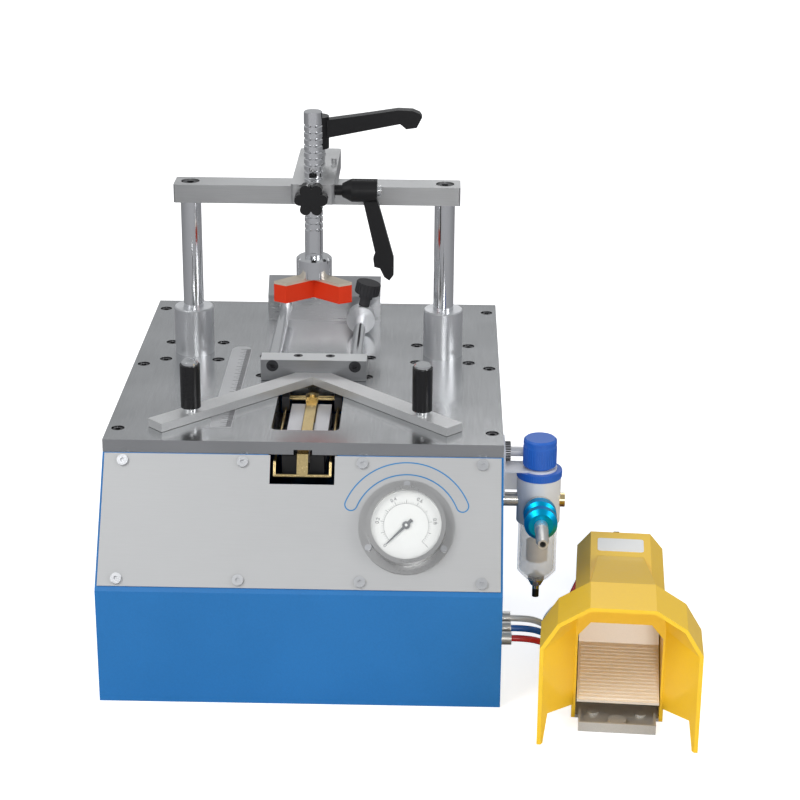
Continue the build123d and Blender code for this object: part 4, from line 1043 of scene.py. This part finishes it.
@dataclass(frozen=True)
class Coil:
    """A flat coil in two layers: a spiral in, a climb, and a spiral out, in millimetres and turns."""

    x: float = 304.0
    y: float = 15.0
    outer: float = 38.0
    inner: float = 28.0
    turns: float = 1.5
    climb_turns: float = 0.5
    climb: float = 6.5
    per_turn: int = 16

    def spot(self, turn: float, low: float) -> Spot:
        """Radius and height after so many turns.

        Args:
            turn: Turns from the coil's start.
            low: Height of its lower layer.

        Returns:
            The radius and the height.
        """
        rate = (self.outer - self.inner) / self.turns
        if turn <= self.turns:
            return self.outer - rate * turn, low
        share = (turn - self.turns) / self.climb_turns
        if share <= 1:
            radius = self.inner - rate * self.climb_turns * min(share, 1 - share)
            return radius, low + self.climb * share * share * (3 - 2 * share)
        return self.inner + rate * (turn - self.turns - self.climb_turns), low + self.climb

    def route(self, low: float) -> list[Point]:
        """Control points of the coil.

        Args:
            low: Height of its lower layer.

        Returns:
            The points, set out a little so that the smooth curve keeps the coil's radius.
        """
        total = 2 * self.turns + self.climb_turns
        count = round(total * self.per_turn)
        shrink = math.cos(math.pi / self.per_turn)
        points = []
        for i in range(count + 1):
            turn = total * i / count
            radius, height = self.spot(turn, low)
            wide = radius if i in (0, count) else radius / shrink
            angle = math.pi - 2 * math.pi * turn
            points.append((self.x + wide * math.cos(angle), self.y + wide * math.sin(angle), height))
        return points


@dataclass(frozen=True)
class AirLine:
    """One air tube, from its bulkhead fitting through its coil to the foot valve, in millimetres."""

    colour: str
    finish: Finish
    low: float
    lead: tuple[Point, ...]
    tail: tuple[Point, ...]
    length: float
    diameter: float = 6.0

    def curve(self, route: list[Point]) -> bpy.types.Curve:
        """Smooth curve with the tube's thickness.

        Args:
            route: Control points of the tube's middle.

        Returns:
            The curve.
        """
        curve = bpy.data.curves.new(self.colour + "_air_line", "CURVE")
        curve.dimensions = "3D"
        spline = curve.splines.new("NURBS")
        spline.points.add(len(route) - 1)
        for point, (x, y, z) in zip(spline.points, route):
            point.co = (x * MM, y * MM, z * MM, 1.0)
        spline.order_u = 3
        spline.use_endpoint_u = True
        spline.resolution_u = 6
        curve.bevel_depth = self.diameter / 2 * MM
        curve.bevel_resolution = 4
        curve.use_fill_caps = True
        curve.materials.append(self.finish.material())
        return curve

    def build(self, with_pieces: list[bpy.types.Object]) -> None:
        """Adds the tube as one smooth curve.

        Args:
            with_pieces: CAD pieces that belong to the tube; not used.
        """
        route = [*self.lead, *Coil().route(self.low), *self.tail]
        tube = add_object(self.colour + "_air_line", self.curve(route))
        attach(tube, "machine")
        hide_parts(self.colour + "_tube", self.colour + "_tube_coil")
        LOG.info("air line %s with %d points", self.colour, len(route))


RED_LINE = AirLine(
    "red",
    RED_TUBE,
    low=30.5,
    lead=(
        (190, -197.5, 49), (206, -197.5, 49), (222, -196, 43.5), (234, -186, 32), (239, -168, 18),
        (241, -148, 8), (240, -125, 3.6), (240.5, -101, 3.4), (243, -78, 7.5), (249.5, -57, 13.5),
        (256, -39, 20.5), (263, -24, 27), (266, -7, 30.5), (266, 9, 30.5),
    ),
    tail=(
        (342, 9, 37), (342, -7, 37), (336, -22, 35.5), (322, -30, 32), (304, -33, 27.5), (288, -36, 24),
        (281.54, -48.02, 22), (280.56, -61.98, 22),
    ),
    length=1092.0,
)
BLUE_LINE = AirLine(
    "blue",
    BLUE_TUBE,
    low=17.5,
    lead=(
        (190, -177.5, 49), (206, -177.5, 49), (220, -175.5, 44), (229.5, -165, 33), (233, -147, 19),
        (234, -127, 8.5), (232.5, -105, 3.8), (234, -82, 4.2), (240, -60, 6.6), (249, -41, 10),
        (258.5, -25, 14), (266, -7, 17.5), (266, 9, 17.5),
    ),
    tail=(
        (342, 9, 24), (342, -7, 24), (337, -25, 24), (324, -37, 23.4), (308, -40, 22.5),
        (297.5, -49.13, 22), (296.52, -63.1, 22),
    ),
    length=1052.0,
)
WHITE_LINE = AirLine(
    "white",
    WHITE_TUBE,
    low=4.5,
    lead=(
        (190, -157.5, 49), (206, -157.5, 49), (218, -155.5, 44.5), (225.5, -145, 33.5), (227.5, -127, 20),
        (226.5, -107, 9.5), (225.5, -85, 4), (229, -63, 3.5), (238, -43, 3.9), (252, -27, 4.2),
        (266, -7, 4.5), (266, 9, 4.5),
    ),
    tail=(
        (342, 9, 11), (342, -7, 11), (339, -26, 13.5), (329, -39, 18), (313.46, -50.25, 22),
        (312.48, -64.21, 22),
    ),
    length=1023.0,
)

CABINET_FINISH = {
    "cabinet_shell": BLUE_PAINT,
    "base_cover": ZINC,
    "front_panel": STAINLESS,
    "panel_screws": ZINC,
    "top_plate": POLISHED,
    "plate_screws": BLACKENED,
    "ruler_inset": GROUND,
    "guide_bosses": TURNED,
    "rear_stop_plate": GROUND,
    "press_cylinders": TURNED,
    "driver_cylinder": TURNED,
    "driver_ram": ZINC,
    "magazine_body": MAGAZINE,
    "gauge_case": SATIN,
    "gauge_dial": DIAL_WHITE,
    "gauge_glass": GLASS,
    "gauge_pointer": INK,
}
PRESS_FINISH = {
    "crossbar": CROSSBAR,
    "press_columns": CHROME,
    "crossbar_screws": BLACKENED,
    "clamp_arm": CROSSBAR,
    "arm_lever": ARM_LEVER,
    "press_rod": CHROME,
    "rod_cup": CHROME,
    "press_pad": RED_PAD,
    "star_knob": STAR,
    "rod_lever": ROD_LEVER,
}
FENCE_FINISH = {
    "fence_bars": BAR_STEEL,
    "fence_block": GUIDE_BLOCK,
    "fence_screws": FENCE_STEEL,
    "guide_rods": CHROME,
    "rod_collar": TURNED,
    "collar_knob": BLACK_PLASTIC,
    "left_handle": HANDLE,
    "right_handle": HANDLE,
    "nail_pusher": GOLD,
    "pusher_handle": GOLD,
    "pusher_sockets": BLACK_PLASTIC,
}
AIR_FINISH = {
    "regulator_body": PALE_CASTING,
    "regulator_bracket": BRACKET,
    "regulator_ring_nut": BLUE_MOULDING,
    "regulator_knob": BLUE_MOULDING,
    "regulator_bowl": BOWL,
    "filter_element": SINTER,
    "regulator_fittings": FITTINGS,
    "hose_barb": NICKEL,
    "valve_sleeve": BLUE_ANODISED,
    "tube_fittings": NICKEL,
    "coil_tie": BLACK_PLASTIC,
}
FOOT_FINISH = {
    "foot_base": TRAY,
    "foot_guard": YELLOW,
    "foot_valve_body": TURNED,
    "pedal_pivot": ZINC,
    "foot_pedal": PEDAL,
}


def dress_nodes(nodes: dict[str, bpy.types.Object]) -> None:
    """Gives each CAD piece its finish.

    Args:
        nodes: CAD objects by name.
    """
    for group in (CABINET_FINISH, PRESS_FINISH, FENCE_FINISH, AIR_FINISH, FOOT_FINISH):
        for name, finish in group.items():
            materials = nodes[name].data.materials
            materials.clear()
            materials.append(finish.material())


@dataclass(frozen=True)
class Lamp:
    """Soft square lamp: its place and side in metres, and its power in watts."""

    name: str
    place: Point
    side: float
    power: float
    aim: Point = (0.08, 0.0, 0.2)

    def build(self) -> None:
        """Adds the lamp, turned to the machine."""
        data = bpy.data.lights.new(self.name, "AREA")
        data.size = self.side
        data.energy = self.power
        lamp = add_object(self.name, data)
        lamp.location = self.place
        ahead = Vector(self.aim) - Vector(self.place)
        lamp.rotation_euler = ahead.to_track_quat("-Z", "Y").to_euler()


@dataclass(frozen=True)
class Card:
    """Dark upright card that only shows in shiny metal, in metres."""

    name: str
    x: float
    y: float
    width: float
    height: float = 1.6
    lift: float = 0.02

    def paint(self) -> bpy.types.Material:
        """Dull black.

        Returns:
            The card's material.
        """
        paint = bpy.data.materials.new(self.name)
        paint.use_nodes = True
        shader = paint.node_tree.nodes["Principled BSDF"]
        shader.inputs["Base Color"].default_value = (0.02, 0.02, 0.02, 1)
        shader.inputs["Roughness"].default_value = 0.9
        return paint

    def build(self) -> None:
        """Adds the card, turned to the machine."""
        half = self.width / 2
        points = [(-half, 0, 0), (half, 0, 0), (half, 0, self.height), (-half, 0, self.height)]
        mesh = bpy.data.meshes.new(self.name)
        mesh.from_pydata(points, [], [[0, 1, 2, 3]])
        turned = Matrix.Rotation(math.atan2(self.x, -self.y), 4, "Z")
        mesh.transform(Matrix.Translation((self.x, self.y, self.lift)) @ turned)
        mesh.materials.append(self.paint())
        card = add_object(self.name, mesh)
        card.visible_camera = False
        card.visible_shadow = False
        card.visible_diffuse = False


@dataclass(frozen=True)
class Floor:
    """Pale floor that keeps the machine's shadow, in metres."""

    half: float = 12.0
    drop: float = 0.0005
    glow: float = 0.7
    pale: tuple[float, ...] = (0.9, 0.9, 0.9, 1.0)
    in_metal: tuple[float, ...] = (0.34, 0.34, 0.35, 1.0)

    def paint(self) -> bpy.types.Material:
        """White that glows for the camera and is darker in what metal mirrors.

        Returns:
            The floor's material.
        """
        paint = bpy.data.materials.new("floor_white")
        paint.use_nodes = True
        desk = NodeDesk(paint.node_tree)
        shader = paint.node_tree.nodes["Principled BSDF"]
        shader.inputs["Roughness"].default_value = 0.9
        shader.inputs["Specular IOR Level"].default_value = 0.0
        shader.inputs["Emission Color"].default_value = (1, 1, 1, 1)
        path = desk.add("ShaderNodeLightPath").outputs
        shade = desk.blend(Mix.COLOUR, path["Is Glossy Ray"], self.pale, self.in_metal)
        desk.join(shade, shader.inputs["Base Color"])
        seen = desk.sum_of("MAXIMUM", path["Is Camera Ray"], path["Is Transmission Ray"])
        desk.join(desk.sum_of("MULTIPLY", seen, self.glow), shader.inputs["Emission Strength"])
        return paint

    def build(self) -> None:
        """Adds the floor."""
        corners = ((-1, -1), (1, -1), (1, 1), (-1, 1))
        points = [(x * self.half, y * self.half, -self.drop) for x, y in corners]
        mesh = bpy.data.meshes.new("floor")
        mesh.from_pydata(points, [], [[0, 1, 2, 3]])
        mesh.materials.append(self.paint())
        add_object("floor", mesh)


LAMPS = (
    Lamp("key_lamp", (-1.4, -1.6, 2.2), side=1.2, power=30.0),
    Lamp("fill_lamp", (1.8, -1.2, 1.3), side=0.9, power=12.0),
    Lamp("back_lamp", (0.2, 1.8, 1.9), side=1.2, power=9.0),
    Lamp("front_lamp", (0.35, -2.6, 0.75), side=0.7, power=14.0),
)
CARDS = (
    Card("left_card", -1.05, -1.5, width=0.5),
    Card("right_card", 1.15, -1.4, width=0.45),
    Card("front_card", 0.1, -2.6, width=0.9),
)


@dataclass(frozen=True)
class Studio:
    """Camera and surroundings: place in metres, lens in millimetres and turns in degrees."""

    lens: float = 93.94
    sensor: float = 36.0
    place: Point = (0.1225, -1.8907, 0.9238)
    pitch: float = 20.8646
    yaw: float = 1.1855
    roll: float = 0.4295
    far: float = 50.0
    air_light: float = 0.42

    def camera(self) -> None:
        """Sets the camera at the photograph's viewing angle."""
        data = bpy.data.cameras.new("camera")
        data.lens = self.lens
        data.sensor_width = self.sensor
        data.clip_end = self.far
        pitch = math.radians(self.pitch)
        yaw = math.radians(self.yaw)
        roll = math.radians(self.roll)
        level = math.cos(pitch)
        ahead = Vector((-math.sin(yaw) * level, math.cos(yaw) * level, -math.sin(pitch)))
        right = Vector((math.cos(yaw), math.sin(yaw), 0.0))
        up = right.cross(ahead)
        side = right * math.cos(roll) + up * math.sin(roll)
        top = up * math.cos(roll) - right * math.sin(roll)
        camera = add_object("camera", data)
        camera.matrix_world = Matrix((
            (side.x, top.x, -ahead.x, self.place[0]),
            (side.y, top.y, -ahead.y, self.place[1]),
            (side.z, top.z, -ahead.z, self.place[2]),
            (0, 0, 0, 1),
        ))
        bpy.context.scene.camera = camera

    def air(self) -> None:
        """Pale world that looks white and lights softly."""
        world = bpy.data.worlds.new("studio_air")
        bpy.context.scene.world = world
        world.use_nodes = True
        world.node_tree.nodes.clear()
        desk = NodeDesk(world.node_tree)
        seen = desk.add("ShaderNodeBackground")
        seen.inputs["Color"].default_value = (1, 1, 1, 1)
        seen.inputs["Strength"].default_value = 1.0
        lit = desk.add("ShaderNodeBackground")
        lit.inputs["Color"].default_value = (0.96, 0.98, 1, 1)
        lit.inputs["Strength"].default_value = self.air_light
        mix = desk.add("ShaderNodeMixShader")
        desk.join(desk.add("ShaderNodeLightPath").outputs["Is Camera Ray"], mix.inputs[0])
        desk.join(lit.outputs["Background"], mix.inputs[1])
        desk.join(seen.outputs["Background"], mix.inputs[2])
        desk.join(mix.outputs["Shader"], desk.add("ShaderNodeOutputWorld").inputs["Surface"])

    def build(self) -> None:
        """Sets up everything round the machine."""
        self.camera()
        self.air()
        Floor().build()
        for item in (*LAMPS, *CARDS):
            item.build()
        bpy.context.scene.view_settings.view_transform = "Standard"


def main() -> None:
    """Builds the dressed machine around its frame."""
    logging.basicConfig(level=logging.INFO, format="%(name)s: %(message)s")
    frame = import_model()
    Studio().build()
    nodes = frame["nodes"]
    dress_nodes(nodes)
    RED_LINE.build([nodes["tube_fittings"]])
    BLUE_LINE.build([])
    WHITE_LINE.build([nodes["coil_tie"]])
    for group in (SlantedFront(), Ruler(), Regulator(), CollarKnob(), FootValve()):
        group.dress()


if __name__ == "__main__":
    main()
